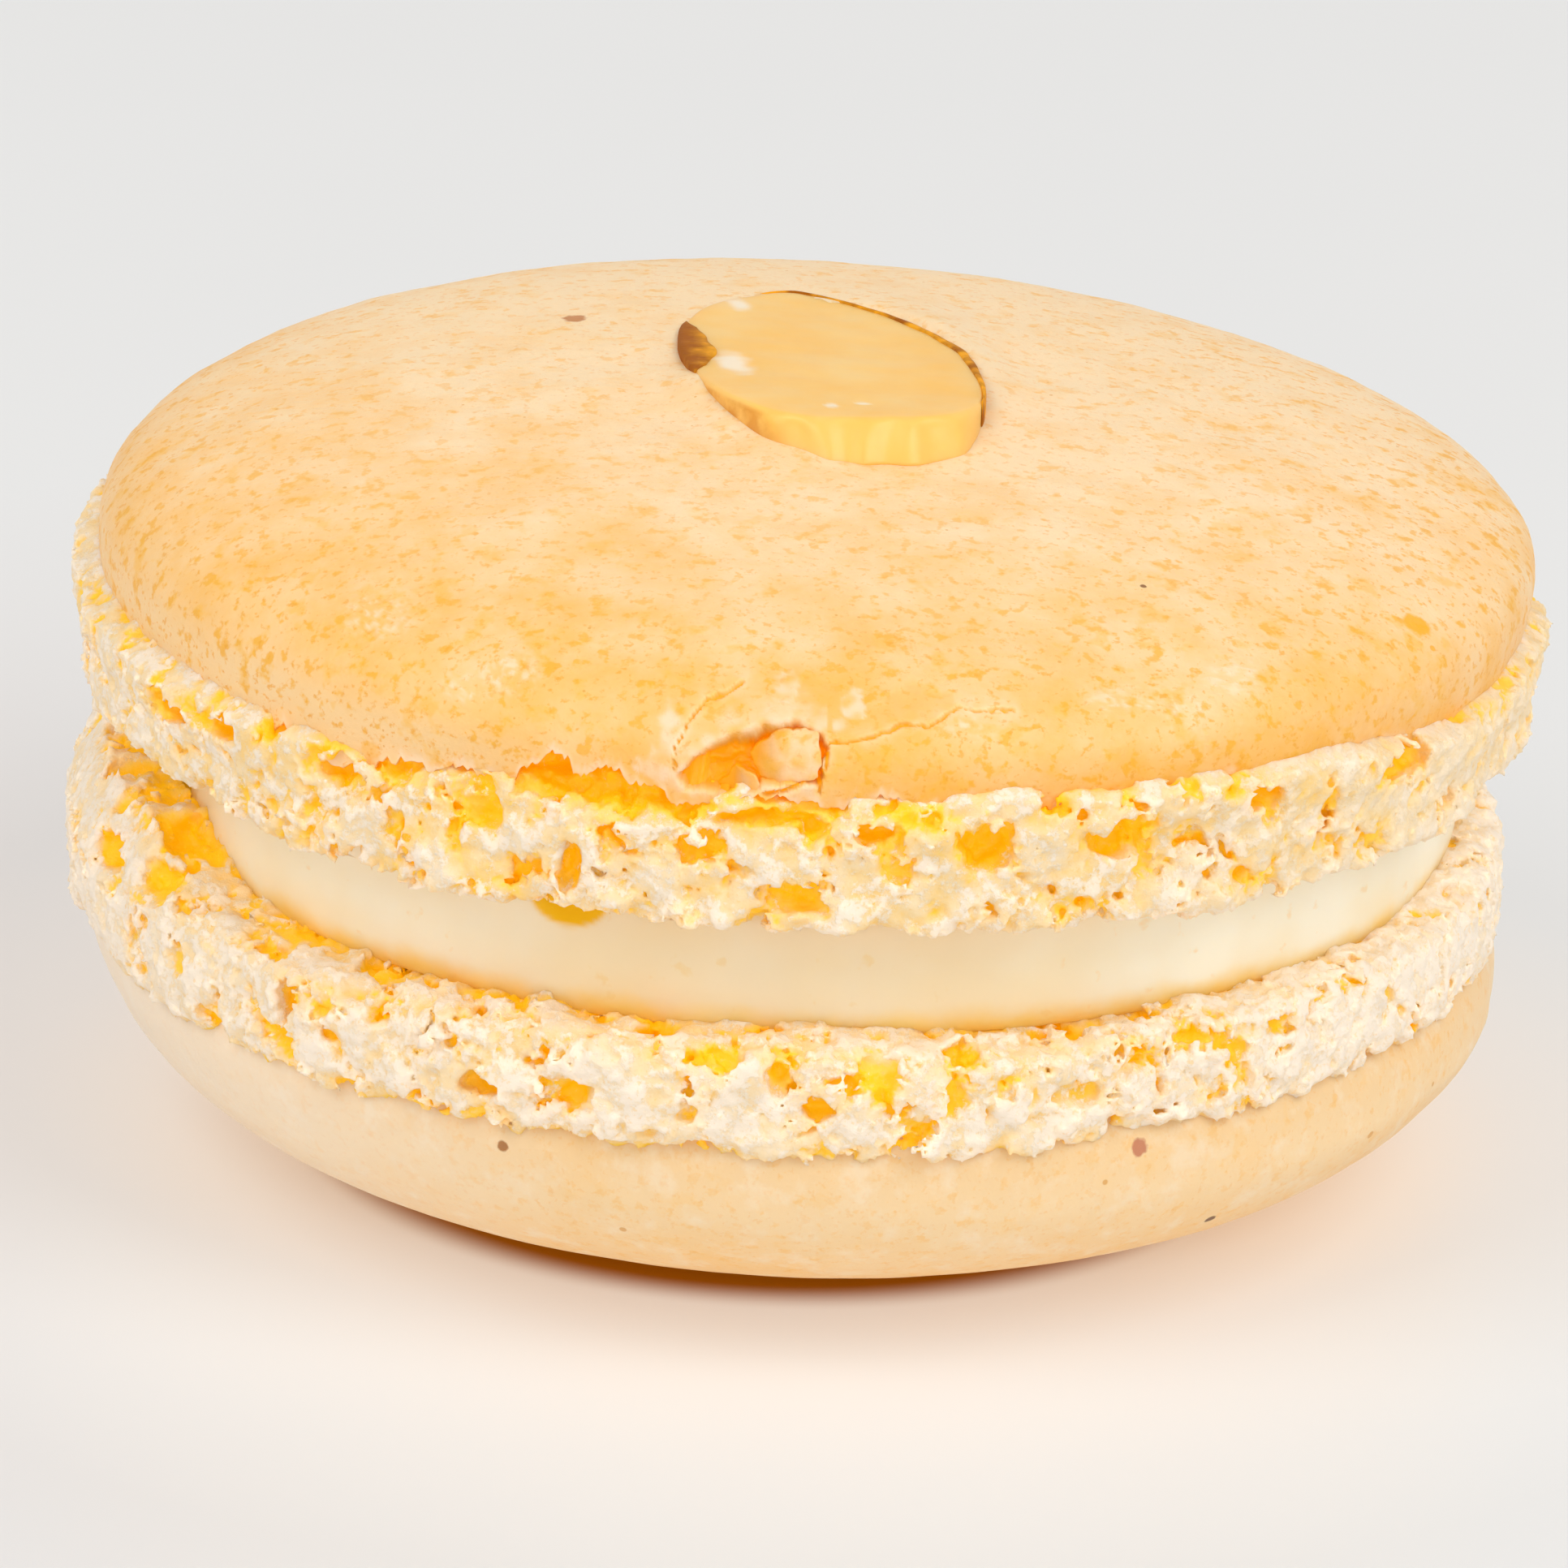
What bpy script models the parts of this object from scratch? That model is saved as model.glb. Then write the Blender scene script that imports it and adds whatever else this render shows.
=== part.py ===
"""French macaron, standing on the domed side of its lower shell.

Two baked almond-meringue shells hold a disc of pale cream, and an almond flake is pressed into the
top. Each shell is one turned solid: a smooth crusted dome over a ruffled foot. Everything is in
metres, with +Z up and the origin at the centre of the small flat that the macaron stands on.
Bearings are angles round the upright axis, measured from the front (-Y) towards the right (+X).
"""

import math

import bmesh
import bpy
from mathutils import Euler, Vector

MM = 0.001

# The stack, from the table up.
LOWER_FLAT_FACE = 11.6 * MM      # height of the lower shell's flat face, where the cream starts
CREAM_GAP = 4.2 * MM             # space between the two shells' flat faces
CLEARANCE = 0.3 * MM             # left between touching pieces
UPPER_SHIFT = 0.6 * MM           # the upper shell sits this far to the right of the lower one

# What both shells share.
ROUND_STEPS = 96                 # facets round a shell
DOME_STEPS = 9                   # rings from the top of a dome to its widest line
FOOT_STEPS = 5                   # rings down the ruffled foot
FOOT_RADIUS = 24.75 * MM         # mean outer radius of the foot, before its ruffles
FOOT_LIP = 1.6 * MM              # how far the foot's lip rolls in before the flat face starts
CRUST_LIFT = 0.3 * MM            # height of the groove between the crust's edge and the foot
CRUST_OVERHANG = 0.45 * MM       # how deep that groove goes in
FLAT_FACE_RINGS = (0.72, 0.36)   # rings inside the flat face, as shares of its radius

# Each shell's own sizes. Heights count from its flat face towards the top of its dome.
UPPER_SHELL = {
    "crust_radius": 24.15 * MM,
    "edge_radius": 24.1 * MM,    # the crust's lower edge
    "edge_height": 4.05 * MM,
    "widest_height": 5.15 * MM,
    "height": 10.1 * MM,
    "full_height": 10.1 * MM,    # the dome's height before its top is flattened
    "side_power": 2.3,
    "top_power": 2.3,
    "foot_sag": 1.3,             # above 1, the foot is widest nearer its flat face
    "dome_shift": 0.2 * MM,      # the dome sits this far to the right of the foot
    "lean": -0.02,               # the dome drops towards the right by this slope
    "swell": 0.3 * MM,           # the dome rises this much on its rear left
}
LOWER_SHELL = {
    "crust_radius": 24.1 * MM,
    "edge_radius": 23.7 * MM,
    "edge_height": 2.95 * MM,
    "widest_height": 3.95 * MM,
    "height": LOWER_FLAT_FACE,
    "full_height": LOWER_FLAT_FACE + 0.25 * MM,
    "side_power": 2.7,
    "top_power": 2.35,
    "foot_sag": 1.0,
    "dome_shift": 0.7 * MM,
    "lean": 0.0,
    "swell": 0.0,
}
SWELL_BEARING = math.radians(-140)

# Ruffles: (lobes round the foot, depth, phase in degrees, twist in degrees per mm of height).
UPPER_RUFFLES = (
    (2, 0.16 * MM, 70, 0),
    (7, 0.14 * MM, 40, 5),
    (16, 0.15 * MM, 100, -12),
    (27, 0.20 * MM, 210, 16),
)
LOWER_RUFFLES = (
    (2, 0.18 * MM, 95, 0),
    (6, 0.15 * MM, 310, -4),
    (17, 0.15 * MM, 20, 10),
    (26, 0.20 * MM, 130, -18),
)
# Rise and fall of the crust's edge and of the foot's lip: (waves, height, phase in degrees).
UPPER_EDGE_WAVES = ((1, -0.25 * MM, 0), (3, 0.12 * MM, 70), (13, 0.12 * MM, 10))
LOWER_EDGE_WAVES = ((1, -0.10 * MM, 0), (4, 0.12 * MM, 200), (15, 0.10 * MM, 80))
UPPER_LIP_WAVES = ((1, -0.20 * MM, 0), (5, 0.14 * MM, 300), (19, 0.12 * MM, 35))
LOWER_LIP_WAVES = ((1, 0.12 * MM, 10), (6, 0.14 * MM, 130), (21, 0.12 * MM, 75))

# The cream disc.
CREAM_RADIUS = 22.3 * MM
CREAM_SHIFT = 0.6 * MM           # it was squeezed a little to the right
CREAM_BULGE = 0.35 * MM
CREAM_STEPS = 6
CREAM_HOLLOW = 1.7 * MM          # the cream stops this much short of the foot on the left
CREAM_HOLLOW_BEARING = math.radians(-92)
CREAM_HOLLOW_WIDTH = math.radians(26)

# The almond flake, pressed into the top of the upper shell. It is outlined in four quarters, each
# (half width, half length, roundness): back right, back left, front left, front right.
FLAKE_QUARTERS = (
    (4.2 * MM, 8.8 * MM, 1.45),
    (5.2 * MM, 8.8 * MM, 2.0),
    (5.2 * MM, 8.6 * MM, 2.8),
    (4.2 * MM, 8.6 * MM, 5.0),
)
FLAKE_THICKNESS = 1.4 * MM
FLAKE_BREAK_SLOPE = 1.0 * MM     # the snapped front end leans back by this much
FLAKE_EDGE_ROUND = 0.22 * MM
FLAKE_CENTRE = Vector((1.1 * MM, 2.4 * MM, 25.65 * MM))
FLAKE_TURN = Euler((math.radians(-3.7), math.radians(1.2), math.radians(9.8)), "XYZ")
FLAKE_POINTS = 44

# The chip broken out of the upper crust at the front.
CHIP_BEARING = math.radians(-5)
CHIP_RADIUS = 24.05 * MM
CHIP_HEIGHT = 21.45 * MM
CHIP_SIZE = Vector((2.9 * MM, 0.85 * MM, 1.0 * MM))

COLOURS = {
    "upper_shell": ((0.955, 0.665, 0.345, 1.0), 0.62),
    "lower_shell": ((0.940, 0.680, 0.400, 1.0), 0.66),
    "cream_filling": ((0.930, 0.800, 0.600, 1.0), 0.42),
    "almond_flake": ((0.960, 0.620, 0.220, 1.0), 0.38),
}


def clear_scene():
    for obj in list(bpy.data.objects):
        bpy.data.objects.remove(obj)


def new_collection(name):
    made = bpy.data.collections.new(name)
    bpy.context.scene.collection.children.link(made)
    return made


def add_object(name, mesh, collection):
    obj = bpy.data.objects.new(name, mesh)
    collection.objects.link(obj)
    return obj


def finish_with(obj, colour, roughness):
    """A plain matte finish in the piece's own colour."""
    material = bpy.data.materials.new(obj.name)
    material.use_nodes = True
    shader = material.node_tree.nodes["Principled BSDF"]
    shader.inputs["Base Color"].default_value = colour
    shader.inputs["Roughness"].default_value = roughness
    shader.inputs["Metallic"].default_value = 0.0
    obj.data.materials.append(material)


def wave_sum(waves, bearing):
    """The height of several waves round the macaron, added up at one bearing."""
    return sum(size * math.sin(count * bearing + math.radians(phase))
               for count, size, phase in waves)


def dome_outline(sizes):
    """(radius, height) points from the top of the dome out to its widest line."""
    rise = sizes["full_height"] - sizes["widest_height"]
    points = []
    for step in range(DOME_STEPS + 1):
        turn = step / DOME_STEPS * math.pi / 2
        radius = sizes["crust_radius"] * math.sin(turn) ** (2 / sizes["side_power"])
        height = sizes["widest_height"] + rise * max(math.cos(turn), 0.0) ** (2 / sizes["top_power"])
        points.append((radius, min(height, sizes["height"])))
    return points


def foot_outline(sizes):
    """(radius, height) points from under the crust's edge, round the foot and in to the flat face."""
    top = sizes["edge_height"] - CRUST_LIFT
    groove = sizes["edge_radius"] - CRUST_OVERHANG
    bulge = FOOT_RADIUS - groove
    points = [(groove, top)]
    for step in range(1, FOOT_STEPS + 1):
        share = step / FOOT_STEPS
        radius = groove + bulge * max(math.sin(math.pi * share ** sizes["foot_sag"]), 0.0) ** 0.6
        points.append((radius, top * (1 + math.cos(math.pi * share)) / 2))
    points[-1] = (FOOT_RADIUS - FOOT_LIP, 0.0)
    return points


def shell_outline(sizes):
    """The whole turned profile of a shell, top of the dome first and centre of the flat face last."""
    flat_radius = FOOT_RADIUS - FOOT_LIP
    outline = dome_outline(sizes)
    outline.append((sizes["edge_radius"], sizes["edge_height"]))
    outline += foot_outline(sizes)
    outline += [(flat_radius * share, 0.0) for share in FLAT_FACE_RINGS]
    outline.append((0.0, 0.0))
    return outline


def turned_mesh(name, outline):
    """A closed solid turned from a profile with a Screw modifier."""
    profile = bpy.data.meshes.new(name + "_profile")
    profile.from_pydata([(radius, 0.0, height) for radius, height in outline],
                        [(i, i + 1) for i in range(len(outline) - 1)], [])
    helper = add_object(name + "_profile", profile, bpy.context.scene.collection)
    screw = helper.modifiers.new("Screw", "SCREW")
    screw.steps = ROUND_STEPS
    screw.render_steps = ROUND_STEPS
    screw.use_merge_vertices = True
    screw.merge_threshold = 0.00001
    graph = bpy.context.evaluated_depsgraph_get()
    mesh = bpy.data.meshes.new_from_object(helper.evaluated_get(graph))
    mesh.name = name
    bpy.data.objects.remove(helper)
    return mesh


def ruffle(ruffles, bearing, height):
    """How far the foot stands out at a bearing and a height up the foot."""
    return sum(depth * math.sin(lobes * bearing + math.radians(phase + twist * height / MM))
               for lobes, depth, phase, twist in ruffles)


def shape_by_hand(mesh, sizes, ruffles, edge_waves, lip_waves):
    """Ruffles the foot, lets the crust's edge and the lip wander, and leans the dome."""
    edge = sizes["edge_height"]
    groove = edge - CRUST_LIFT
    flat_radius = FOOT_RADIUS - FOOT_LIP
    for vertex in mesh.vertices:
        place = vertex.co
        radius = math.hypot(place.x, place.y)
        height = place.z
        if radius < flat_radius * 0.9 and height < edge:
            continue
        bearing = math.atan2(place.x, -place.y)
        if height < groove * 0.98:
            share = height / groove
            push = ruffle(ruffles, bearing, height) * math.sin(math.pi * (0.2 + 0.6 * share))
            place.x *= 1 + push / radius
            place.y *= 1 + push / radius
            if height > 0:
                place.z += (wave_sum(lip_waves, bearing) * (1 - share)
                            + wave_sum(edge_waves, bearing) * share)
                place.z = max(place.z, 0.05 * MM)
        else:
            rise = max(height - edge, 0.0) / (sizes["height"] - edge)
            out = radius / sizes["crust_radius"]
            place.z += wave_sum(edge_waves, bearing) * max(0.0, 1 - 2.5 * rise)
            place.z += sizes["lean"] * place.x * rise
            place.z += sizes["swell"] * max(math.cos(bearing - SWELL_BEARING), 0.0) * 4 * out * (1 - out)
            place.x += sizes["dome_shift"] * min(rise * 3, 1.0)


def make_shell(name, sizes, ruffles, edge_waves, lip_waves, collection):
    mesh = turned_mesh(name, shell_outline(sizes))
    shape_by_hand(mesh, sizes, ruffles, edge_waves, lip_waves)
    obj = add_object(name, mesh, collection)
    mesh.shade_smooth()
    mesh.set_sharp_from_angle(angle=math.radians(50))
    return obj


def turn_over(obj):
    """Turns a shell dome down, about the left-right axis, so that front stays front after the spin."""
    for vertex in obj.data.vertices:
        vertex.co.y = -vertex.co.y
    obj.data.flip_normals()
    obj.rotation_euler = (math.pi, 0, 0)


def make_cream(collection):
    """The cream: a disc whose side bulges a little between the shells."""
    half = CREAM_GAP / 2 - CLEARANCE
    outline = [(0.0, half)]
    for step in range(CREAM_STEPS + 1):
        turn = step / CREAM_STEPS * math.pi
        outline.append((CREAM_RADIUS - CREAM_BULGE * (1 - math.sin(turn)), half * math.cos(turn)))
    outline.append((0.0, -half))
    mesh = turned_mesh("cream_filling", outline)
    for vertex in mesh.vertices:
        off = math.atan2(vertex.co.x, -vertex.co.y) - CREAM_HOLLOW_BEARING
        off = (off + math.pi) % math.tau - math.pi
        inset = CREAM_HOLLOW * math.exp(-(off / CREAM_HOLLOW_WIDTH) ** 2) / CREAM_RADIUS
        vertex.co.x *= 1 - inset
        vertex.co.y *= 1 - inset
    obj = add_object("cream_filling", mesh, collection)
    obj.location = (CREAM_SHIFT, 0, LOWER_FLAT_FACE + CREAM_GAP / 2)
    obj.data.shade_smooth()
    obj.data.set_sharp_from_angle(angle=math.radians(50))
    return obj


def flake_outline_point(turn, grow):
    """A point on the flake's outline: a quarter of a rounded shape for each quarter of the turn."""
    quarter = int(turn / (math.pi / 2)) % 4
    half_width, half_length, roundness = FLAKE_QUARTERS[quarter]
    across = math.copysign(abs(math.cos(turn)) ** (2 / roundness), math.cos(turn))
    along = math.copysign(abs(math.sin(turn)) ** (2 / roundness), math.sin(turn))
    return across * (half_width + grow), along * (half_length + grow)


def flake_mesh(name, grow):
    """The flake as a flat slab with eased edges. A cutter is grown by the clearance."""
    shape = bmesh.new()
    half = FLAKE_THICKNESS / 2 + grow
    ring = []
    for step in range(FLAKE_POINTS):
        across, along = flake_outline_point((step + 0.5) / FLAKE_POINTS * math.tau, grow)
        ring.append(shape.verts.new((across, along, half)))
    shape.faces.new(ring)
    lowered = bmesh.ops.extrude_face_region(shape, geom=list(shape.faces))
    for item in lowered["geom"]:
        if isinstance(item, bmesh.types.BMVert):
            front = max(-item.co.y / FLAKE_QUARTERS[2][1], 0.0)
            item.co.y -= FLAKE_BREAK_SLOPE * min(front, 1.0) ** 3
            item.co.z = -half
    bmesh.ops.recalc_face_normals(shape, faces=shape.faces)
    rims = [edge for edge in shape.edges if abs(edge.verts[0].co.z - edge.verts[1].co.z) < 0.1 * half]
    bmesh.ops.bevel(shape, geom=rims, offset=FLAKE_EDGE_ROUND, segments=2, profile=0.5, affect="EDGES")
    mesh = bpy.data.meshes.new(name)
    shape.to_mesh(mesh)
    shape.free()
    return mesh


def place_flake(obj):
    obj.location = FLAKE_CENTRE
    obj.rotation_euler = FLAKE_TURN


def make_flake(collection):
    obj = add_object("almond_flake", flake_mesh("almond_flake", 0.0), collection)
    place_flake(obj)
    obj.data.shade_smooth()
    obj.data.set_sharp_from_angle(angle=math.radians(40))
    return obj


def cut_away(shell, cutter, name):
    """Subtracts a cutter from a shell, and hides the cutter."""
    cutter.hide_render = True
    cutter.display_type = "WIRE"
    cut = shell.modifiers.new(name, "BOOLEAN")
    cut.operation = "DIFFERENCE"
    cut.solver = "EXACT"
    cut.object = cutter


def press_flake_into(shell, cutters):
    """Cuts the pocket that the flake was pressed into, one clearance larger than the flake."""
    cutter = add_object("flake_pocket", flake_mesh("flake_pocket", CLEARANCE), cutters)
    place_flake(cutter)
    cut_away(shell, cutter, "Flake pocket")


def chip_edge_of(shell, cutters):
    """Breaks a shallow chip out of the crust just above its edge, at the front."""
    shape = bmesh.new()
    bmesh.ops.create_icosphere(shape, subdivisions=2, radius=1.0)
    for vertex in shape.verts:
        ragged = 1 + 0.14 * math.sin(5 * vertex.co.x + 2) * math.cos(7 * vertex.co.z)
        vertex.co = Vector(size * part for size, part in zip(CHIP_SIZE, vertex.co * ragged))
    mesh = bpy.data.meshes.new("crust_chip")
    shape.to_mesh(mesh)
    shape.free()
    cutter = add_object("crust_chip", mesh, cutters)
    cutter.location = (UPPER_SHIFT + CHIP_RADIUS * math.sin(CHIP_BEARING),
                       -CHIP_RADIUS * math.cos(CHIP_BEARING), CHIP_HEIGHT)
    cutter.rotation_euler = (0, math.radians(-12), CHIP_BEARING)
    cut_away(shell, cutter, "Crust chip")


def main():
    clear_scene()
    macaron = new_collection("french_macaron")
    cutters = new_collection("cutters")

    lower = make_shell("lower_shell", LOWER_SHELL, LOWER_RUFFLES, LOWER_EDGE_WAVES,
                       LOWER_LIP_WAVES, macaron)
    turn_over(lower)
    lower.location = (0, 0, LOWER_FLAT_FACE)

    cream = make_cream(macaron)

    upper = make_shell("upper_shell", UPPER_SHELL, UPPER_RUFFLES, UPPER_EDGE_WAVES,
                       UPPER_LIP_WAVES, macaron)
    upper.location = (UPPER_SHIFT, 0, LOWER_FLAT_FACE + CREAM_GAP)

    flake = make_flake(macaron)
    press_flake_into(upper, cutters)
    chip_edge_of(upper, cutters)

    for obj in (lower, cream, upper, flake):
        finish_with(obj, *COLOURS[obj.name])


main()
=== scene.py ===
"""The looks of a french macaron: two crusted almond shells with crumbly feet, cream, an almond flake.

Lengths are in metres, worked out from sizes in millimetres. +Z is up, the front is -Y, and a
bearing is an angle round the upright axis, measured from the front towards the right (+X).
"""

import math

import bmesh
import bpy
import numpy as np
from mathutils import Euler, Matrix, Vector, noise


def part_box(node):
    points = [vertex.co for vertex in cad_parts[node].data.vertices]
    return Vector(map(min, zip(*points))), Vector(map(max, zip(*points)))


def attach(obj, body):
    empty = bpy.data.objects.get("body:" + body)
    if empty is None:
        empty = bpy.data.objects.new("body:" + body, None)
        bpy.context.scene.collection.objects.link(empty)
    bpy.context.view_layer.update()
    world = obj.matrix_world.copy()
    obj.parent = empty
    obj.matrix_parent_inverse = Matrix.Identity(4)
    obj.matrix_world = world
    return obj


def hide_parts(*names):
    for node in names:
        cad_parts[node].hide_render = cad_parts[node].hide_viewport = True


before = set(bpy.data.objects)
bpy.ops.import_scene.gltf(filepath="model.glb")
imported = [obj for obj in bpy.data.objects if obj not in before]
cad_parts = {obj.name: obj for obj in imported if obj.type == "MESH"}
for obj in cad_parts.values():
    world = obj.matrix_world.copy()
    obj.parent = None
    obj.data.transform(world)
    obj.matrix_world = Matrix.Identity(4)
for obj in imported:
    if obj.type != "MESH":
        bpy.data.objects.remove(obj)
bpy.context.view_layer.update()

MM = 0.001

# The kinds of node that are used most.
MATH = "ShaderNodeMath"
VECTOR = "ShaderNodeVectorMath"
SPLIT = "ShaderNodeSeparateXYZ"
RANGE = "ShaderNodeMapRange"      # value, from low, from high, to low, to high; held at both ends
NOISE = "ShaderNodeTexNoise"      # place, 1 / size, detail, roughness
MIX = "ShaderNodeMix"             # amount, first colour, second colour
VORONOI = "ShaderNodeTexVoronoi"  # place, 1 / size
MARK = "ShaderNodeAttribute"      # reads what a piece keeps under a name

# Heights and places that the frame gives.
CLEARANCE = 0.3 * MM
CREAM_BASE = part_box("cream_filling")[0].z
CREAM_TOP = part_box("cream_filling")[1].z
LOWER_FACE = CREAM_BASE - CLEARANCE      # where the lower foot ends and the cream starts
UPPER_FACE = CREAM_TOP + CLEARANCE       # where the cream ends and the upper foot starts

# The upper shell's crust.
UPPER_AXIS = 0.6 * MM                    # the upper shell stands this far to the right
UPPER_WIDEST = 24.15 * MM
UPPER_WIDEST_Z = UPPER_FACE + 5.15 * MM
UPPER_RISE = 4.95 * MM
UPPER_EDGE_Z = UPPER_FACE + 4.05 * MM
UPPER_LEAN = -0.02
UPPER_SWELL = 0.3 * MM
UPPER_SWELL_BEARING = math.radians(-140)
CRUST_THICKNESS = 0.42 * MM

# The lower shell's crust.
LOWER_WIDEST = 24.1 * MM
LOWER_WIDEST_Z = LOWER_FACE - 3.95 * MM
LOWER_EDGE_RADIUS = 23.6 * MM
LOWER_EDGE_Z = LOWER_FACE - 2.7 * MM
LOWER_SHIFT = 0.7 * MM

# The crumbly feet. Each is baked as a straight bar of crumb that is bent round into a ring.
ARC_RADIUS = 24.0 * MM                   # the bar is as long as the way round at this radius
VOXEL = 0.115 * MM                       # how finely the crumb is baked
FOOT_TRIANGLES = 192000                  # a foot has at most this many
BUBBLE_STEP = 2.4 * MM                   # single bubbles are this far apart, where there is one
BUBBLE_SHARE = 0.16
BUBBLE_LEAST = 0.10 * BUBBLE_STEP
BUBBLE_MOST = 0.16 * BUBBLE_STEP
LOOSE_BIT = 4000.0                       # bits with fewer corners than this aren't kept

# Each foot has its axis, its lowest and highest level, its outer and inner radius, how far its
# outer face sways and its top and bottom lift, how round its lower and upper edges are, how far it
# rises at the left and tucks in at the back, how much warmer its painted glow gets deep inside, and
# where its noise starts. The upper foot goes on behind its crust as a core of its own radius.
UPPER_FOOT = {
    "axis": UPPER_AXIS,
    "low": UPPER_FACE + 0.1 * MM,
    "high": UPPER_EDGE_Z + 0.8 * MM,
    "outer": 24.5 * MM,
    "inner": 21.2 * MM,
    "sway": 1.1 * MM,
    "lift": 0.9 * MM,
    "low_round": 0.9 * MM,
    "rise": 0.0,
    "core": 23.5 * MM,
    "tuck": 0.4 * MM,
    "glow": 0.2,
    "drift": 3.0,
}
LOWER_FOOT = {
    "axis": 0.0,
    "low": LOWER_EDGE_Z - 0.8 * MM,
    "high": LOWER_FACE + 0.4 * MM,
    "outer": 24.5 * MM,
    "inner": 21.2 * MM,
    "sway": 0.8 * MM,
    "lift": 0.8 * MM,
    "low_round": 2.0 * MM,
    "high_round": 1.7 * MM,
    "rise": 1.7 * MM,
    "tuck": 0.1 * MM,
    "glow": 0.25,
    "drift": 11.0,
}
# Hollows baked into the feet: (across from the front, height, half width, half height, depth), in mm.
UPPER_HOLLOWS = (
    (-7.2, 20.1, 2.3, 0.6, 1.1),
    (-1.4, 19.75, 1.9, 0.3, 1.0),
    (-12.9, 19.9, 1.1, 0.4, 0.9),
    (5.7, 18.9, 0.85, 0.75, 1.2),
    (9.9, 18.8, 1.0, 0.65, 1.0),
    (2.1, 19.4, 0.6, 0.4, 0.9),
    (0.3, 19.5, 0.55, 0.4, 0.9),
    (-18.3, 19.8, 0.35, 0.6, 1.0),
    (-13.4, 19.5, 0.7, 0.5, 0.9),
    (-10.2, 18.8, 0.8, 0.6, 0.8),
    (-15.4, 18.9, 1.0, 0.5, 0.9),
    (-20.5, 18.9, 0.9, 0.45, 0.8),
    (-23.5, 18.6, 1.1, 0.5, 0.8),
    (-7.2, 17.6, 0.4, 0.9, 0.8),
    (-0.2, 17.0, 1.0, 0.5, 0.8),
    (15.0, 19.5, 0.9, 0.5, 0.7),
    (21.5, 19.2, 1.3, 0.6, 0.7),
)
LOWER_HOLLOWS = (
    (-9.3, 9.7, 0.8, 0.45, 1.1),
    (-16.8, 10.6, 0.4, 0.8, 0.9),
    (1.4, 10.0, 0.7, 0.35, 1.0),
    (-6.4, 9.9, 0.8, 0.6, 0.7),
    (9.7, 10.2, 0.9, 0.5, 0.6),
    (0.2, 11.0, 0.45, 0.6, 0.9),
    (-1.4, 11.9, 1.2, 0.35, 1.4),
    (7.6, 11.9, 1.9, 0.35, 1.4),
    (-24.5, 12.2, 1.2, 0.7, 1.2),
    (-28.0, 12.0, 1.2, 0.7, 1.2),
    (29.0, 12.2, 1.2, 0.7, 1.2),
)
# Hollows in the top of the ledge at the left: (across, distance from the axis, height, half width,
# half depth, half height), in mm.
LEDGE_HOLLOWS = (
    (-31.5, 22.7, 13.6, 0.6, 0.8, 0.7),
    (-29.0, 23.5, 13.4, 0.6, 0.6, 0.5),
    (-28.5, 21.9, 13.7, 0.7, 0.7, 0.7),
    (-25.5, 22.3, 13.2, 1.3, 0.9, 0.8),
)

# ---------------------------------------------------------------------------------------- helpers


def hexed(colour):
    """A colour given as an sRGB hex value, turned linear."""
    channels = [int(colour[i:i + 2], 16) / 255 for i in (1, 3, 5)]
    linear = [c / 12.92 if c <= 0.04045 else ((c + 0.055) / 1.055) ** 2.4 for c in channels]
    return (*linear, 1.0)


def add_node(tree, kind, inputs=(), **settings):
    """Adds a node with its settings and gives back its first output. Its inputs, in order or by
    name, are plain values, colours as hex values, or links."""
    made = tree.nodes.new(kind)
    for name, value in settings.items():
        setattr(made, name, value)
    if isinstance(inputs, dict):
        pairs = [(made.inputs[name], value) for name, value in inputs.items()]
    else:
        pairs = zip([socket for socket in made.inputs if socket.enabled], inputs)
    for socket, value in pairs:
        if isinstance(value, bpy.types.NodeSocket):
            tree.links.new(value, socket)
        elif isinstance(value, str) and value.startswith("#"):
            socket.default_value = hexed(value)
        else:
            socket.default_value = value
    return next((socket for socket in made.outputs if socket.enabled), None)


def deselect():
    """Leaves edit mode and selects nothing."""
    if bpy.context.object and bpy.context.object.mode != "OBJECT":
        bpy.ops.object.mode_set(mode="OBJECT")
    bpy.ops.object.select_all(action="DESELECT")


def pick(obj):
    """Makes a piece the only one selected."""
    deselect()
    obj.select_set(True)
    bpy.context.view_layer.objects.active = obj


def apply_modifier(obj, kind, **settings):
    """Gives a piece a modifier with its settings, and applies it."""
    pick(obj)
    made = obj.modifiers.new(kind.title(), kind)
    for name, value in settings.items():
        setattr(made, name, value)
    bpy.ops.object.modifier_apply(modifier=made.name)


def joined(name, pieces):
    """Joins pieces into one."""
    deselect()
    for piece in pieces:
        piece.select_set(True)
    bpy.context.view_layer.objects.active = pieces[0]
    bpy.ops.object.join()
    pieces[0].name = name
    pieces[0].data.name = name
    return pieces[0]


def close_ends(obj):
    """Fills the open ends of a piece and turns its faces outward."""
    shape = bmesh.new()
    shape.from_mesh(obj.data)
    bmesh.ops.holes_fill(shape, edges=[edge for edge in shape.edges if edge.is_boundary])
    bmesh.ops.recalc_face_normals(shape, faces=shape.faces)
    shape.to_mesh(obj.data)
    shape.free()


def finish_piece(obj, material, node):
    """Gives a piece its finish and its place in the frame."""
    obj.data.materials.clear()
    obj.data.materials.append(material)
    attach(obj, "root")
    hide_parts(node)


def wander(points):
    """Smooth noise at each point of an array, one value per row, between about -1 and 1."""
    return np.array([noise.noise(point) for point in points.tolist()])


def smooth_step(low, high, values):
    """How far values have come from low to high, from 0 to 1, with soft ends."""
    share = np.clip((values - low) / (high - low), 0, 1)
    return share * share * (3 - 2 * share)


# ------------------------------------------------------------------------------- sheets that wrap


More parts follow.
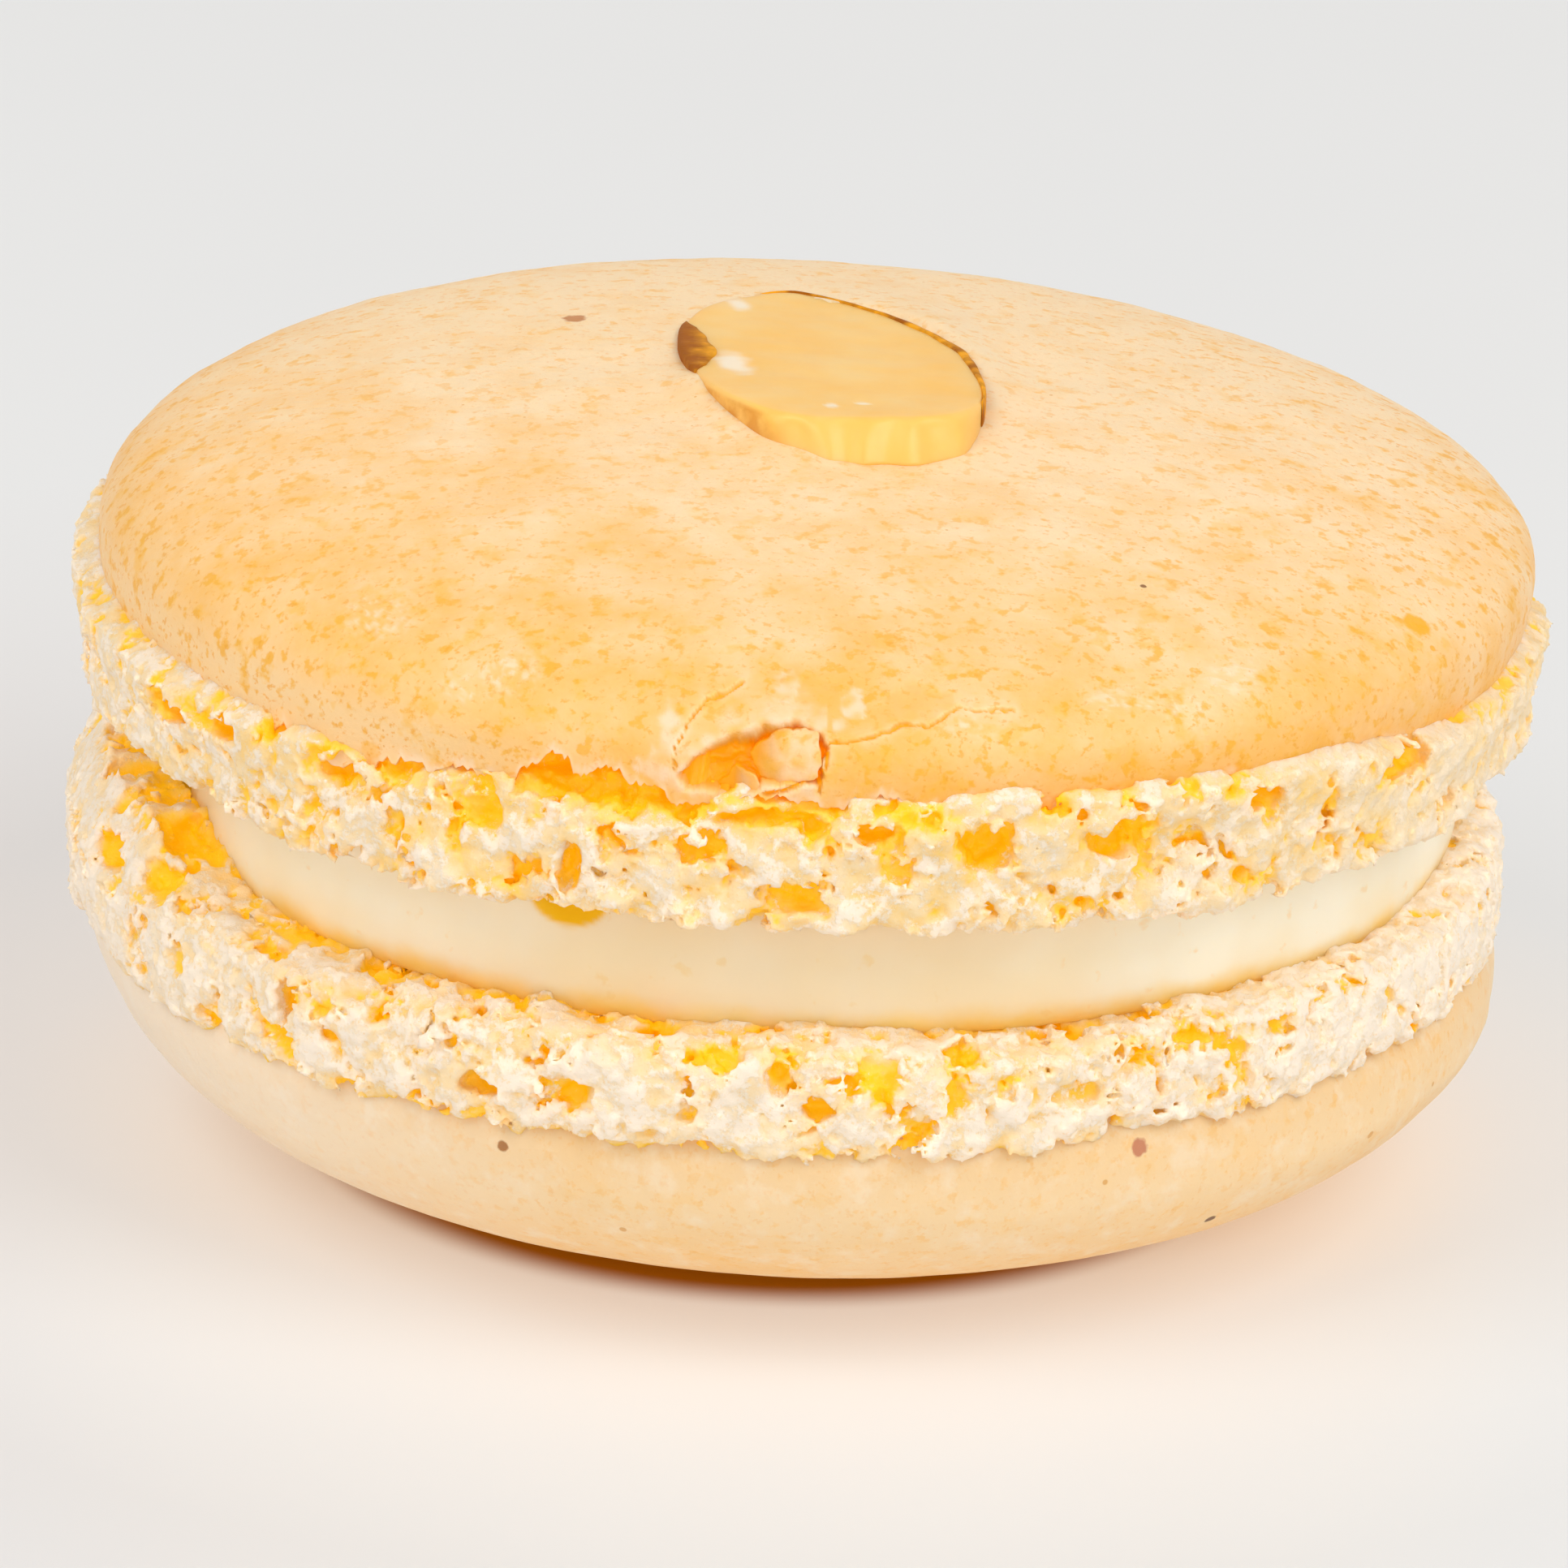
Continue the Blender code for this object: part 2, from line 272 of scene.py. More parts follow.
def crowded(count, low, high, middle, width, extra):
    """Values from low to high that crowd together round the middle."""
    fine = np.linspace(low, high, 4001)
    density = 1 + extra * np.exp(-((fine - middle) / width) ** 2)
    total = np.concatenate([[0], np.cumsum((density[1:] + density[:-1]) / 2)])
    return np.interp(np.linspace(0, total[-1], count + 1), total, fine)


def fitted(places, counts):
    """Values that run through the given places, with a count of even steps between each two."""
    runs = [np.linspace(a, b, n, endpoint=False) for a, b, n in zip(places, places[1:], counts)]
    return np.append(np.concatenate(runs), places[-1])


def wrapped_sheet(name, columns, rows, place, marks=None):
    """A grid rolled up round an axis. place(column, row) gives each corner of the grid its point,
    and may leave a value for each corner in marks, kept as attributes of the same names."""
    deselect()
    bpy.ops.mesh.primitive_grid_add(x_subdivisions=columns, y_subdivisions=rows, size=1)
    obj = bpy.context.object
    obj.name = name
    obj.data.name = name
    flat = np.zeros(len(obj.data.vertices) * 3)
    obj.data.vertices.foreach_get("co", flat)
    flat = flat.reshape(-1, 3)
    column = np.rint((flat[:, 0] + 0.5) * columns).astype(int)
    row = np.rint((flat[:, 1] + 0.5) * rows).astype(int)
    obj.data.vertices.foreach_set("co", place(column, row).astype(np.float32).ravel())
    for mark, values in (marks or {}).items():
        made = obj.data.attributes.new(mark, "FLOAT", "POINT")
        made.data.foreach_set("value", values.astype(np.float32))
    obj.data.update()
    pick(obj)
    bpy.ops.object.mode_set(mode="EDIT")
    bpy.ops.mesh.select_all(action="SELECT")
    bpy.ops.mesh.remove_doubles(threshold=0.002 * MM)
    bpy.ops.mesh.normals_make_consistent(inside=False)
    bpy.ops.object.mode_set(mode="OBJECT")
    bpy.ops.object.shade_smooth()
    return obj


def dome_path(widest, rise, side_power, top_power):
    """(radius, height) from the crown of a dome out to its widest line, finely stepped."""
    turn = np.linspace(0, math.pi / 2, 600)
    radius = widest * np.sin(turn) ** (2 / side_power)
    height = rise * np.clip(np.cos(turn), 0, 1) ** (2 / top_power)
    return radius, height


def with_lengths(radius, height):
    """The length along a path at each of its points, and its outward normals."""
    steps = np.hypot(np.diff(radius), np.diff(height))
    length = np.concatenate([[0], np.cumsum(steps)])
    run = np.gradient(radius)
    fall = np.gradient(height)
    size = np.hypot(run, fall)
    return length, -fall / size, run / size


# ------------------------------------------------------------------------------------ upper crust

# Where the crust's edge is chipped back: (across from the front, half width, depth), in mm.
EDGE_CHIPS = (
    (-8.3, 0.8, 0.55), (-7.0, 1.2, 0.5), (-5.5, 1.0, 0.45), (-13.4, 0.9, 0.4), (-18.2, 0.5, 0.5),
    (-11.2, 0.5, 0.3), (5.6, 1.1, 0.35), (9.8, 1.2, 0.3), (-1.2, 1.3, 0.3), (2.2, 0.8, 0.3),
    (14.6, 1.2, 0.4), (20.5, 1.8, 0.5), (-24.0, 1.6, 0.5),
)
# The broken patch at the front, its cracks and the place where the skin's top film has flaked
# off. Each point is (across from the front, height), in mm; a crack also has its two widths.
HOLE = (
    (-4.2, 20.85), (-3.4, 21.7), (-2.6, 22.3), (-1.7, 22.45), (-0.65, 22.65), (0.35, 22.4),
    (0.53, 22.1), (0.42, 21.4), (0.3, 20.75), (-0.4, 20.75), (-1.3, 20.7), (-1.5, 20.35),
    (-2.5, 20.25), (-3.7, 20.35),
)
FILM = (
    (-0.65, 22.65), (-0.8, 23.0), (-0.65, 23.4), (-0.2, 23.55), (0.7, 23.5), (1.1, 23.1),
    (1.5, 22.9), (1.9, 23.0), (2.6, 23.4), (3.4, 23.5), (4.7, 23.3), (4.65, 22.95),
    (3.6, 22.7), (2.6, 22.6), (1.6, 22.3), (1.0, 22.2), (0.5, 22.45),
)
CRACKS = (
    (0.05, 0.03, ((-4.2, 20.9), (-4.34, 21.7), (-4.0, 22.45), (-3.6, 22.95), (-3.0, 23.1),
                  (-2.5, 23.35))),
    (0.06, 0.03, ((0.5, 22.15), (1.4, 22.25), (2.1, 22.45), (2.75, 22.65), (3.8, 22.65),
                  (4.7, 23.0), (6.6, 22.9))),
    (0.16, 0.10, ((0.45, 21.9), (0.38, 21.3), (0.3, 20.5))),
    (0.12, 0.08, ((-1.3, 20.4), (-0.65, 20.6), (-0.15, 20.85))),
)
# Small spots where the crust has curled up and dried pale: (across, height, half width, half
# height), in mm.
PALE_SPOTS = ((-1.0, 23.3, 0.5, 0.35), (-1.7, 22.65, 0.15, 0.18), (1.3, 23.05, 0.5, 0.25),
              (0.8, 22.55, 0.3, 0.25), (-4.6, 22.1, 0.5, 0.8), (-4.8, 21.0, 0.7, 0.5),
              (0.2, 20.7, 0.2, 0.5))
# Wrinkled patches, whitish with a painted highlight on their wrinkles: (across, height, half width,
# half height), in mm.
WRINKLED_SHEEN_PATCHES = (
    (-10.4, 22.8, 1.3, 0.5), (-11.6, 22.3, 1.0, 0.4), (-16.3, 23.2, 1.6, 0.5),
    (10.6, 22.9, 1.6, 0.35), (12.4, 22.6, 1.0, 0.3), (15.0, 23.0, 1.5, 0.4), (4.9, 22.6, 0.6, 0.4),
)
CRACK_DEPTH = 0.2
HOLE_DEPTH = 0.75


def line_distance(across, up, line, closed=False):
    """The distance in mm to a line, and how far along the line the nearest place is (0 to 1)."""
    points = list(line) + ([line[0]] if closed else [])
    nearest = np.full(across.shape, 1e9)
    share = np.zeros(across.shape)
    for i, ((x0, y0), (x1, y1)) in enumerate(zip(points, points[1:])):
        run, rise = x1 - x0, y1 - y0
        part = np.clip(((across - x0) * run + (up - y0) * rise) / (run * run + rise * rise), 0, 1)
        away = np.hypot(across - x0 - part * run, up - y0 - part * rise)
        closer = away < nearest
        nearest[closer] = away[closer]
        share[closer] = (i + part[closer]) / (len(points) - 1)
    return nearest, share


def depth_inside(across, up, outline):
    """The distance in mm to an outline, positive inside it and negative outside."""
    away, _ = line_distance(across, up, outline, closed=True)
    inside = np.zeros(across.shape, dtype=bool)
    for (x0, y0), (x1, y1) in zip(outline, outline[1:] + outline[:1]):
        crosses = (y0 > up) != (y1 > up)
        level = np.where(crosses, (up - y0) / (y1 - y0 if y1 != y0 else 1), 0)
        inside ^= crosses & (across < x0 + level * (x1 - x0))
    return np.where(inside, away, -away)


# Where the crust runs further down over its foot: (bearing, half width in degrees, drop in mm).
# The back is in it twice, once from either side.
EDGE_DROPS = ((-57, 30, 0.95), (74, 24, 0.75), (180, 60, 0.35), (-180, 60, 0.35))
EDGE_WAVES = ((-0.25, 1, 0), (0.12, 3, 70))     # (height in mm, waves round the edge, start)
GAP_BEARING = -12.5                              # where the edge stands clear of its foot, in degrees
GAP_HALF = 12.0
CRUST_ARC = 24.2                                 # the crust's radius at the front, in mm
CRUST_POWER = 2.3                                # how square the dome's section is


def edge_wave(bearing):
    """The slow rise and fall of the upper crust's edge."""
    return sum(height * np.sin(waves * bearing + math.radians(start))
               for height, waves, start in EDGE_WAVES) * MM


def edge_drop(bearing):
    """How much further down the crust runs, at each bearing."""
    drop = np.zeros(bearing.shape)
    for middle, half, depth in EDGE_DROPS:
        away = np.abs(np.degrees(bearing) - middle) / half
        drop += depth * smooth_step(-1.35, -0.65, -away)
    return drop * MM


def ragged_edge(bearing):
    """How far the crust's edge stops short of its mean line, at each bearing."""
    across = bearing * ARC_RADIUS / MM
    places = np.stack([np.sin(bearing), np.cos(bearing), np.zeros_like(bearing)], axis=1) * 24
    short = 0.26 * wander(places / 3.2) + 0.30 * np.abs(wander(places / 1.5 + 7)) - 0.1
    short += 0.20 * wander(places / 0.6 + 19) + 0.32 * np.abs(wander(places / 0.27 + 31))
    short += 0.30 * np.abs(wander(places / 0.14 + 43))
    for middle, half, depth in EDGE_CHIPS:
        short += depth * smooth_step(-1.3, -0.85, -np.abs(across - middle) / half)
    return short * MM


def crust_breaks(points, across, up):
    """How deep the crust is broken into at each point, in mm, how deep it looks (0 to 1), how much
    of its top film is off, and how pale it has dried beside the break."""
    near = (np.abs(across) < 8) & (up < 24.4) & (up > 19)
    spots = points[near] / MM
    across, up = across[near], up[near]
    jitter = 0.16 * wander(spots / 0.55) + 0.10 * wander(spots / 0.2 + 11)
    rough = 0.16 * wander(spots / 0.8 + 23) + 0.14 * wander(spots / 0.25 + 29)
    film = smooth_step(-0.04, 0.06, depth_inside(across, up, FILM) + jitter * 0.8)
    away = depth_inside(across, up, HOLE) + jitter
    pit = smooth_step(-0.03, 0.2, away)
    lost = 0.06 * film + pit * (HOLE_DEPTH + rough + 0.25 * smooth_step(0.1, 0.9, away))
    deep = pit.copy()
    pale = 0.9 * np.exp(-(np.minimum(away, 0) / 0.5) ** 2) * (across < 0.4) * (1 - pit)
    for widest, narrowest, line in CRACKS:
        away, share = line_distance(across + jitter * 0.9, up + jitter * 0.7, line)
        half = (widest + (narrowest - widest) * share) / 2
        half = half * (1 + 3 * rough)
        open_here = 1 - smooth_step(half - 0.03, half + 0.04, away)
        lost = np.maximum(lost, CRACK_DEPTH * open_here)
        deep = np.maximum(deep, open_here)
        lost -= 0.05 * np.exp(-(away / 0.4) ** 2) * (1 - open_here) * (1 - pit)
        pale = np.maximum(pale, 0.45 * np.exp(-(away / 0.25) ** 2) * (1 - open_here))
    for middle, level, wide, high in PALE_SPOTS:
        away = np.hypot((across - middle) / wide, (up - level) / high) + 3 * jitter
        pale = np.maximum(pale, 1 - smooth_step(0.7, 1.1, away))
    pale *= smooth_step(-0.6, 0.4, wander(spots / 0.45 + 37)) * (1 - pit)
    marks = [np.zeros(len(points)) for _ in range(4)]
    for mark, values in zip(marks, (lost, deep, film, pale)):
        mark[near] = values
    return marks


def wrinkles_with_sheen(points, across, up):
    """How wrinkled the crust is at each point, from 0 to 1. The same mark paints a whitish highlight
    on the wrinkles.
    """
    dry = np.zeros(len(points))
    for middle, level, wide, high in WRINKLED_SHEEN_PATCHES:
        away = np.hypot((across - middle) / wide, (up - level) / high)
        dry = np.maximum(dry, 1 - smooth_step(0.3, 1.3, away))
    near = dry > 0
    spots = points[near] / MM
    streaks = wander(spots / 0.4 + 3) + 0.9 * wander(spots / 0.16 + 13)
    dry[near] *= smooth_step(-0.3, 0.8, streaks)
    return dry


def upper_bearings():
    """The upper crust's columns: finest where it is broken, coarse at the back."""
    return fitted((-math.pi * 24, -25, -11.5, 8.0, 20, math.pi * 24), (95, 80, 230, 75, 110)) / 24


def upper_rows(whole):
    """The upper crust's rows, as distances along its profile from the crown."""
    rows = fitted((0, whole - 7.5 * MM, whole - 5.0 * MM, whole - 0.03 * MM), (46, 14, 58))
    return np.append(rows, whole)


def upper_profile():
    """(radius, height) of the upper crust from its crown down past its edge, and the length of the
    path to the edge. What is past the edge is for the places where the crust runs further down."""
    radius, height = dome_path(UPPER_WIDEST, UPPER_RISE, CRUST_POWER, CRUST_POWER)
    height = height + UPPER_WIDEST_Z
    skirt = np.linspace(0, 1, 60)[1:]
    radius = np.concatenate([radius, UPPER_WIDEST - 0.12 * MM * skirt ** 2])
    height = np.concatenate([height, UPPER_WIDEST_Z - (UPPER_WIDEST_Z - UPPER_EDGE_Z) * skirt])
    whole = with_lengths(radius, height)[0][-1]
    radius = np.concatenate([radius, radius[-1] + 0.12 * MM * skirt ** 1.5])
    height = np.concatenate([height, UPPER_EDGE_Z - 1.6 * MM * skirt])
    return radius, height, whole


def warped_dome(x, z, bearing, radius):
    """The dome's slow unevenness: its wavy edge, its lean, and its swell at the back left."""
    rise = np.clip((z - UPPER_EDGE_Z) / (UPPER_RISE + UPPER_WIDEST_Z - UPPER_EDGE_Z), 0, 1)
    share = radius / UPPER_WIDEST
    z = z + edge_wave(bearing) * np.clip(1 - 2.5 * rise, 0, 1)
    z = z + UPPER_LEAN * x * rise
    swell = np.clip(np.cos(bearing - UPPER_SWELL_BEARING), 0, 1) * 4 * share * (1 - share)
    z = z + UPPER_SWELL * swell
    x = x + 0.2 * MM * np.clip(rise * 3, 0, 1)
    return x, z


def make_upper_crust():
    """The upper shell's thin crust, with its ragged edge, its break and its wrinkled patches."""
    bearings = upper_bearings()
    radius, height, whole = upper_profile()
    length, out_r, out_z = with_lengths(radius, height)
    outer = upper_rows(whole)
    inner = np.linspace(whole, 0, 15)
    row_length = np.concatenate([outer, [whole, whole], inner])
    row_depth = np.concatenate([np.zeros(len(outer)), [0.35, 0.7], np.ones(len(inner))])
    short = ragged_edge(bearings[:-1]) - edge_drop(bearings[:-1])
    short = np.append(short, short[0])
    marks = {}

    def place(column, row):
        bearing = bearings[column]
        outside = row_depth[row] == 0
        near_edge = smooth_step(whole - 3.0 * MM, whole, row_length[row])
        along = np.clip(row_length[row] - short[column] * near_edge, 0, length[-1])
        depth = CRUST_THICKNESS * row_depth[row] * (1 - 0.55 * near_edge)
        r = np.interp(along, length, radius)
        z = np.interp(along, length, height)
        n_r = np.interp(along, length, out_r)
        n_z = np.interp(along, length, out_z)
        n_r[along < 0.01 * MM] = 0
        across = bearing * CRUST_ARC
        up = z / MM
        x = (r - depth * n_r) * np.sin(bearing)
        y = -(r - depth * n_r) * np.cos(bearing)
        x, z = warped_dome(x, z - depth * n_z, bearing, r)
        points = np.stack([x, y, z], axis=1)
        bumps = 0.10 * wander(points / (7 * MM)) + 0.06 * wander(points / (2.6 * MM) + 40)
        bumps += 0.022 * wander(points / (0.9 * MM) + 90) * outside
        bumps += 0.012 * wander(points / (0.4 * MM) + 95) * outside
        lost, deep, film, pale = crust_breaks(points, across, up)
        bumps += flake_swell(points) - lost * outside - np.minimum(lost, 0.5) * ~outside * 1.6
        rim = smooth_step(whole - 0.5 * MM, whole - 0.05 * MM, row_length[row])
        rim *= smooth_step(-0.3, 0.3, wander(points / (0.5 * MM) + 63))
        marks["broken"] = np.maximum(deep * outside, ~outside & (row_depth[row] > 0.5))
        marks["film"] = film
        marks["pale"] = np.maximum(pale, 0.8 * rim) * outside
        # The "dry" mark is the wrinkled patches: raised a little, and given a painted whitish
        # highlight.
        marks["dry"] = wrinkles_with_sheen(points, across, up) * outside
        bumps += 0.03 * marks["dry"]
        normal = np.stack([n_r * np.sin(bearing), -n_r * np.cos(bearing), n_z], axis=1)
        return points + normal * (bumps * MM)[:, None] + np.array([UPPER_AXIS, 0, 0])

    return wrapped_sheet("upper_crust", len(bearings) - 1, len(row_length) - 1, place, marks)


# Plates of broken crust that lie in the hole: (outline, how deep its left and right sides lie).
CHIPS = (
    (((-1.8, 21.6), (-1.45, 22.0), (-0.8, 22.35), (0.3, 22.42), (0.46, 21.7), (0.4, 21.1),
      (-0.35, 20.85), (-0.8, 20.7), (-1.45, 20.95)), 0.5, 0.04),
    (((-2.8, 20.55), (-2.2, 21.2), (-1.6, 21.05), (-1.45, 20.75), (-1.45, 20.45), (-2.2, 20.3)),
     0.6, 0.2),
)
CHIP_THICKNESS = 0.3


def on_crust(across, up, depth):
    """Points at a depth in mm below the upper crust's face, from places in mm."""
    bearing = across / CRUST_ARC
    rise = np.clip((up * MM - UPPER_WIDEST_Z) / UPPER_RISE, 0, 1)
    r = UPPER_WIDEST * (1 - rise ** CRUST_POWER) ** (1 / CRUST_POWER) - depth * MM
    points = np.stack([r * np.sin(bearing), -r * np.cos(bearing), up * MM], axis=1)
    return points + np.array([UPPER_AXIS, 0, 0])


def make_chip(outline, left_depth, right_depth):
    """A plate of crust: a ragged outline with a face, a thin side and an underside."""
    columns = 130
    corners = np.array(outline + outline[:1])
    length = np.concatenate([[0], np.cumsum(np.hypot(*np.diff(corners, axis=0).T))])
    spots = np.linspace(0, length[-1], columns + 1)
    middle = corners[:-1].mean(axis=0)
    edge = np.stack([np.interp(spots, length, corners[:, 0]),
                     np.interp(spots, length, corners[:, 1])], axis=1) - middle
    share = np.array([0, 0.25, 0.5, 0.7, 0.85, 0.95, 1, 1, 0.9, 0.5, 0])
    sunk = np.array([0, 0, 0, 0, 0.01, 0.03, 0.1, 0.9, 1, 1, 1]) * CHIP_THICKNESS
    marks = {}

    def place(column, row):
        spot = middle + edge[column] * share[row][:, None]
        flat = np.stack([spot[:, 0], spot[:, 1], 0 * spot[:, 0]], axis=1)
        jitter = 0.10 * wander(flat / 0.5) + 0.06 * wander(flat / 0.2 + 4)
        outward = edge[column] / np.hypot(*edge[column].T)[:, None]
        spot = spot + outward * (jitter * share[row] ** 4)[:, None]
        width = corners[:, 0].max() - corners[:, 0].min()
        tilt = (spot[:, 0] - corners[:, 0].min()) / width
        depth = left_depth + (right_depth - left_depth) * tilt + 0.05 * wander(flat / 0.6 + 8)
        # Deeper parts of a plate are marked as broken, and so take the inside's orange and its glow:
        # painted shade where the plate sinks into the hole.
        marks["broken"] = np.where(row > 7, 1.0, smooth_step(0.18, 0.55, depth + sunk[row]))
        marks["pale"] = 0.75 * smooth_step(-0.5, 0.4, wander(flat / 0.5 + 15)) * (row < 7)
        return on_crust(spot[:, 0], spot[:, 1], depth + sunk[row])

    return wrapped_sheet("crust_chip", columns, len(share) - 1, place, marks)


def make_chips():
    """The plates of broken crust, as one piece."""
    return joined("crust_chips", [make_chip(*chip) for chip in CHIPS])


# ---------------------------------------------------------------------------------- crumbly feet


def bent_round(tree, place):
    """Where a place on the straight bar comes to when the bar is bent into a ring."""
    way, reach, height = add_node(tree, SPLIT, (place,)).node.outputs
    bearing = add_node(tree, MATH, (way, ARC_RADIUS), operation="DIVIDE")
    back = add_node(tree, MATH, (reach, -1.0), operation="MULTIPLY")
    straight = add_node(tree, "ShaderNodeCombineXYZ", {1: back, 2: height})
    return add_node(tree, "ShaderNodeVectorRotate", {"Vector": straight, "Angle": bearing},
                    rotation_type="Z_AXIS")


def foot_body(tree, way, reach, height, place, sizes):
    """How deep a place lies inside the foot's body, and how far behind its outer face."""
    bearing = add_node(tree, MATH, (way, ARC_RADIUS), operation="DIVIDE")
    waves = add_node(tree, NOISE, (place, 1 / (4.5 * MM), 1.0)).node.outputs["Color"]
    swayed, raised, lowered = add_node(tree, "FunctionNodeSeparateColor", (waves,)).node.outputs[:3]
    sway, lift = sizes["sway"], sizes["lift"]
    outward = add_node(tree, MATH, (reach, -1.0, sizes["outer"] - sway / 2), operation="MULTIPLY_ADD")
    outward = add_node(tree, MATH, (swayed, sway, outward), operation="MULTIPLY_ADD")
    turned = add_node(tree, MATH, (bearing,), operation="ABSOLUTE")
    tuck = add_node(tree, RANGE, (turned, math.radians(78), math.radians(104), 0.0, sizes["tuck"]),
                    interpolation_type="SMOOTHSTEP")
    outward = add_node(tree, MATH, (outward, tuck), operation="SUBTRACT")
    upward = add_node(tree, MATH, (height, -1.0, sizes["high"] - lift / 2), operation="MULTIPLY_ADD")
    upward = add_node(tree, MATH, (raised, lift, upward), operation="MULTIPLY_ADD")
    downward = add_node(tree, MATH, (height, -sizes["low"] - lift / 2), operation="ADD")
    downward = add_node(tree, MATH, (lowered, lift, downward), operation="MULTIPLY_ADD")
    faces = (outward, upward, downward)
    if "core" in sizes:
        body, outward, facing, warm = under_crust(tree, bearing, reach, height, place, faces, sizes)
    else:
        body, outward, facing, warm = beside_cream(tree, bearing, reach, place, faces, sizes)
    body = add_node(tree, MATH, (body, downward, sizes["low_round"]), operation="SMOOTH_MIN")
    # Further behind the outer face the crumb counts as deeper still, and so is painted yellower:
    # painted light in the hollows.
    inner = add_node(tree, RANGE, (outward, 0.6 * MM, 2.4 * MM, 0.0, sizes["glow"] * MM))
    behind = add_node(tree, MATH, (outward, facing, 0.5 * MM), operation="SMOOTH_MIN")
    behind = add_node(tree, MATH, (behind, inner), operation="ADD")
    return body, add_node(tree, MATH, (behind, warm), operation="ADD")


def under_crust(tree, bearing, reach, height, place, faces, sizes):
    """The upper foot under its crust. It draws in, and goes on up as a core behind the crust. At
    the front left the crust's edge stands clear of it, and elsewhere it grows out over the edge."""
    outward, upward, downward = faces
    edge = crust_edge_level(tree, bearing)
    off = add_node(tree, MATH, (bearing, math.radians(GAP_BEARING)), operation="SUBTRACT")
    off = add_node(tree, MATH, (off,), operation="ABSOLUTE")
    # Here and there crumb fills the gap.
    filled = add_node(tree, NOISE, (place, 1 / (1.7 * MM), 2.0))
    filled = add_node(tree, RANGE, (filled, 0.47, 0.56))
    filling = add_node(tree, MATH, (filled, 0.8 * MM), operation="MULTIPLY")
    grown = add_node(tree, RANGE, (off, math.radians(GAP_HALF), math.radians(GAP_HALF + 14), 0.0,
                                   1.2 * MM))
    grown = add_node(tree, MATH, (grown, filling), operation="MAXIMUM")
    # Further round the crumb bulges over the edge.
    bulge = add_node(tree, RANGE, (off, math.radians(GAP_HALF + 8), math.radians(GAP_HALF + 26), 0.0,
                                   0.3 * MM))
    risen = add_node(tree, MATH, (height, edge), operation="SUBTRACT")
    risen = add_node(tree, RANGE, (risen, -1.4 * MM, -0.2 * MM), interpolation_type="SMOOTHSTEP")
    bulge = add_node(tree, MATH, (bulge, risen), operation="MULTIPLY")
    outward = add_node(tree, MATH, (outward, bulge), operation="ADD")
    edge = add_node(tree, MATH, (edge, grown), operation="ADD")
    below = add_node(tree, MATH, (edge, height), operation="SUBTRACT")
    below = add_node(tree, MATH, (below, 0.0), operation="MAXIMUM")
    limit = add_node(tree, MATH, (below, 1.8, sizes["core"]), operation="MULTIPLY_ADD")
    under = add_node(tree, MATH, (limit, reach), operation="SUBTRACT")
    body = add_node(tree, MATH, (outward, under, 0.25 * MM), operation="SMOOTH_MIN")
    body = add_node(tree, MATH, (body, upward), operation="MINIMUM")
    # Where the gap is open, the foot's top lies in its shade and counts as deep inside.
    hidden = add_node(tree, RANGE, (off, math.radians(GAP_HALF + 14), math.radians(GAP_HALF), 0.0,
                                    2 * MM))
    unfilled = add_node(tree, MATH, (1.0, filled), operation="SUBTRACT")
    hidden = add_node(tree, MATH, (hidden, unfilled), operation="MULTIPLY")
    facing = add_node(tree, MATH, (under, hidden), operation="ADD")
    facing = add_node(tree, MATH, (downward, facing), operation="MINIMUM")
    # Warmer just under the crust's edge: painted shade.
    warm = add_node(tree, RANGE, (height, sizes["low"] + 2.3 * MM, sizes["low"] + 3.6 * MM, 0.0,
                                  0.1 * MM))
    return body, outward, facing, warm


def beside_cream(tree, bearing, reach, place, faces, sizes):
    """The lower foot beside the cream. At the left, where the cream stops short, its crumb rises
    to meet the upper foot, and all round it is torn into a broken groove."""
    outward, upward, _ = faces
    off = add_node(tree, MATH, (bearing, math.radians(82)), operation="ADD")
    off = add_node(tree, MATH, (off,), operation="ABSOLUTE")
    rise = add_node(tree, RANGE, (off, math.radians(30), math.radians(18), 0.0, sizes["rise"]),
                    interpolation_type="SMOOTHSTEP")
    near = add_node(tree, RANGE, (reach, 24.4 * MM, 23.2 * MM))
    rise = add_node(tree, MATH, (rise, near), operation="MULTIPLY")
    upward = add_node(tree, MATH, (upward, rise), operation="ADD")
    torn = add_node(tree, NOISE, (place, 1 / (1.3 * MM), 3.0, 0.7))
    torn = add_node(tree, RANGE, (torn, 0.46, 0.6))
    groove = add_node(tree, RANGE, (reach, 23.3 * MM, 22.7 * MM, 0.0, 0.28 * MM),
                      interpolation_type="SMOOTHSTEP")
    groove = add_node(tree, MATH, (torn, groove), operation="MULTIPLY")
    upward = add_node(tree, MATH, (upward, groove), operation="SUBTRACT")
    body = add_node(tree, MATH, (outward, upward, sizes["high_round"]), operation="SMOOTH_MIN")
    # The crumb is painted warmer at the left side and in the groove: painted shade in the recess
    # beside the cream.
    off = add_node(tree, MATH, (bearing, math.radians(68)), operation="ADD")
    off = add_node(tree, MATH, (off,), operation="ABSOLUTE")
    side = add_node(tree, RANGE, (off, math.radians(20), math.radians(8), 0.0, 0.12 * MM))
    inside = add_node(tree, RANGE, (outward, 0.3 * MM, 1.0 * MM))
    warm = add_node(tree, MATH, (side, inside), operation="MULTIPLY")
    inside = add_node(tree, RANGE, (reach, 23.1 * MM, 22.5 * MM, 0.0, 0.6 * MM))
    torn = add_node(tree, MATH, (torn, 0.05), operation="ADD")
    beside = add_node(tree, MATH, (torn, inside), operation="MULTIPLY")
    warm = add_node(tree, MATH, (warm, beside), operation="ADD")
    return body, outward, upward, warm


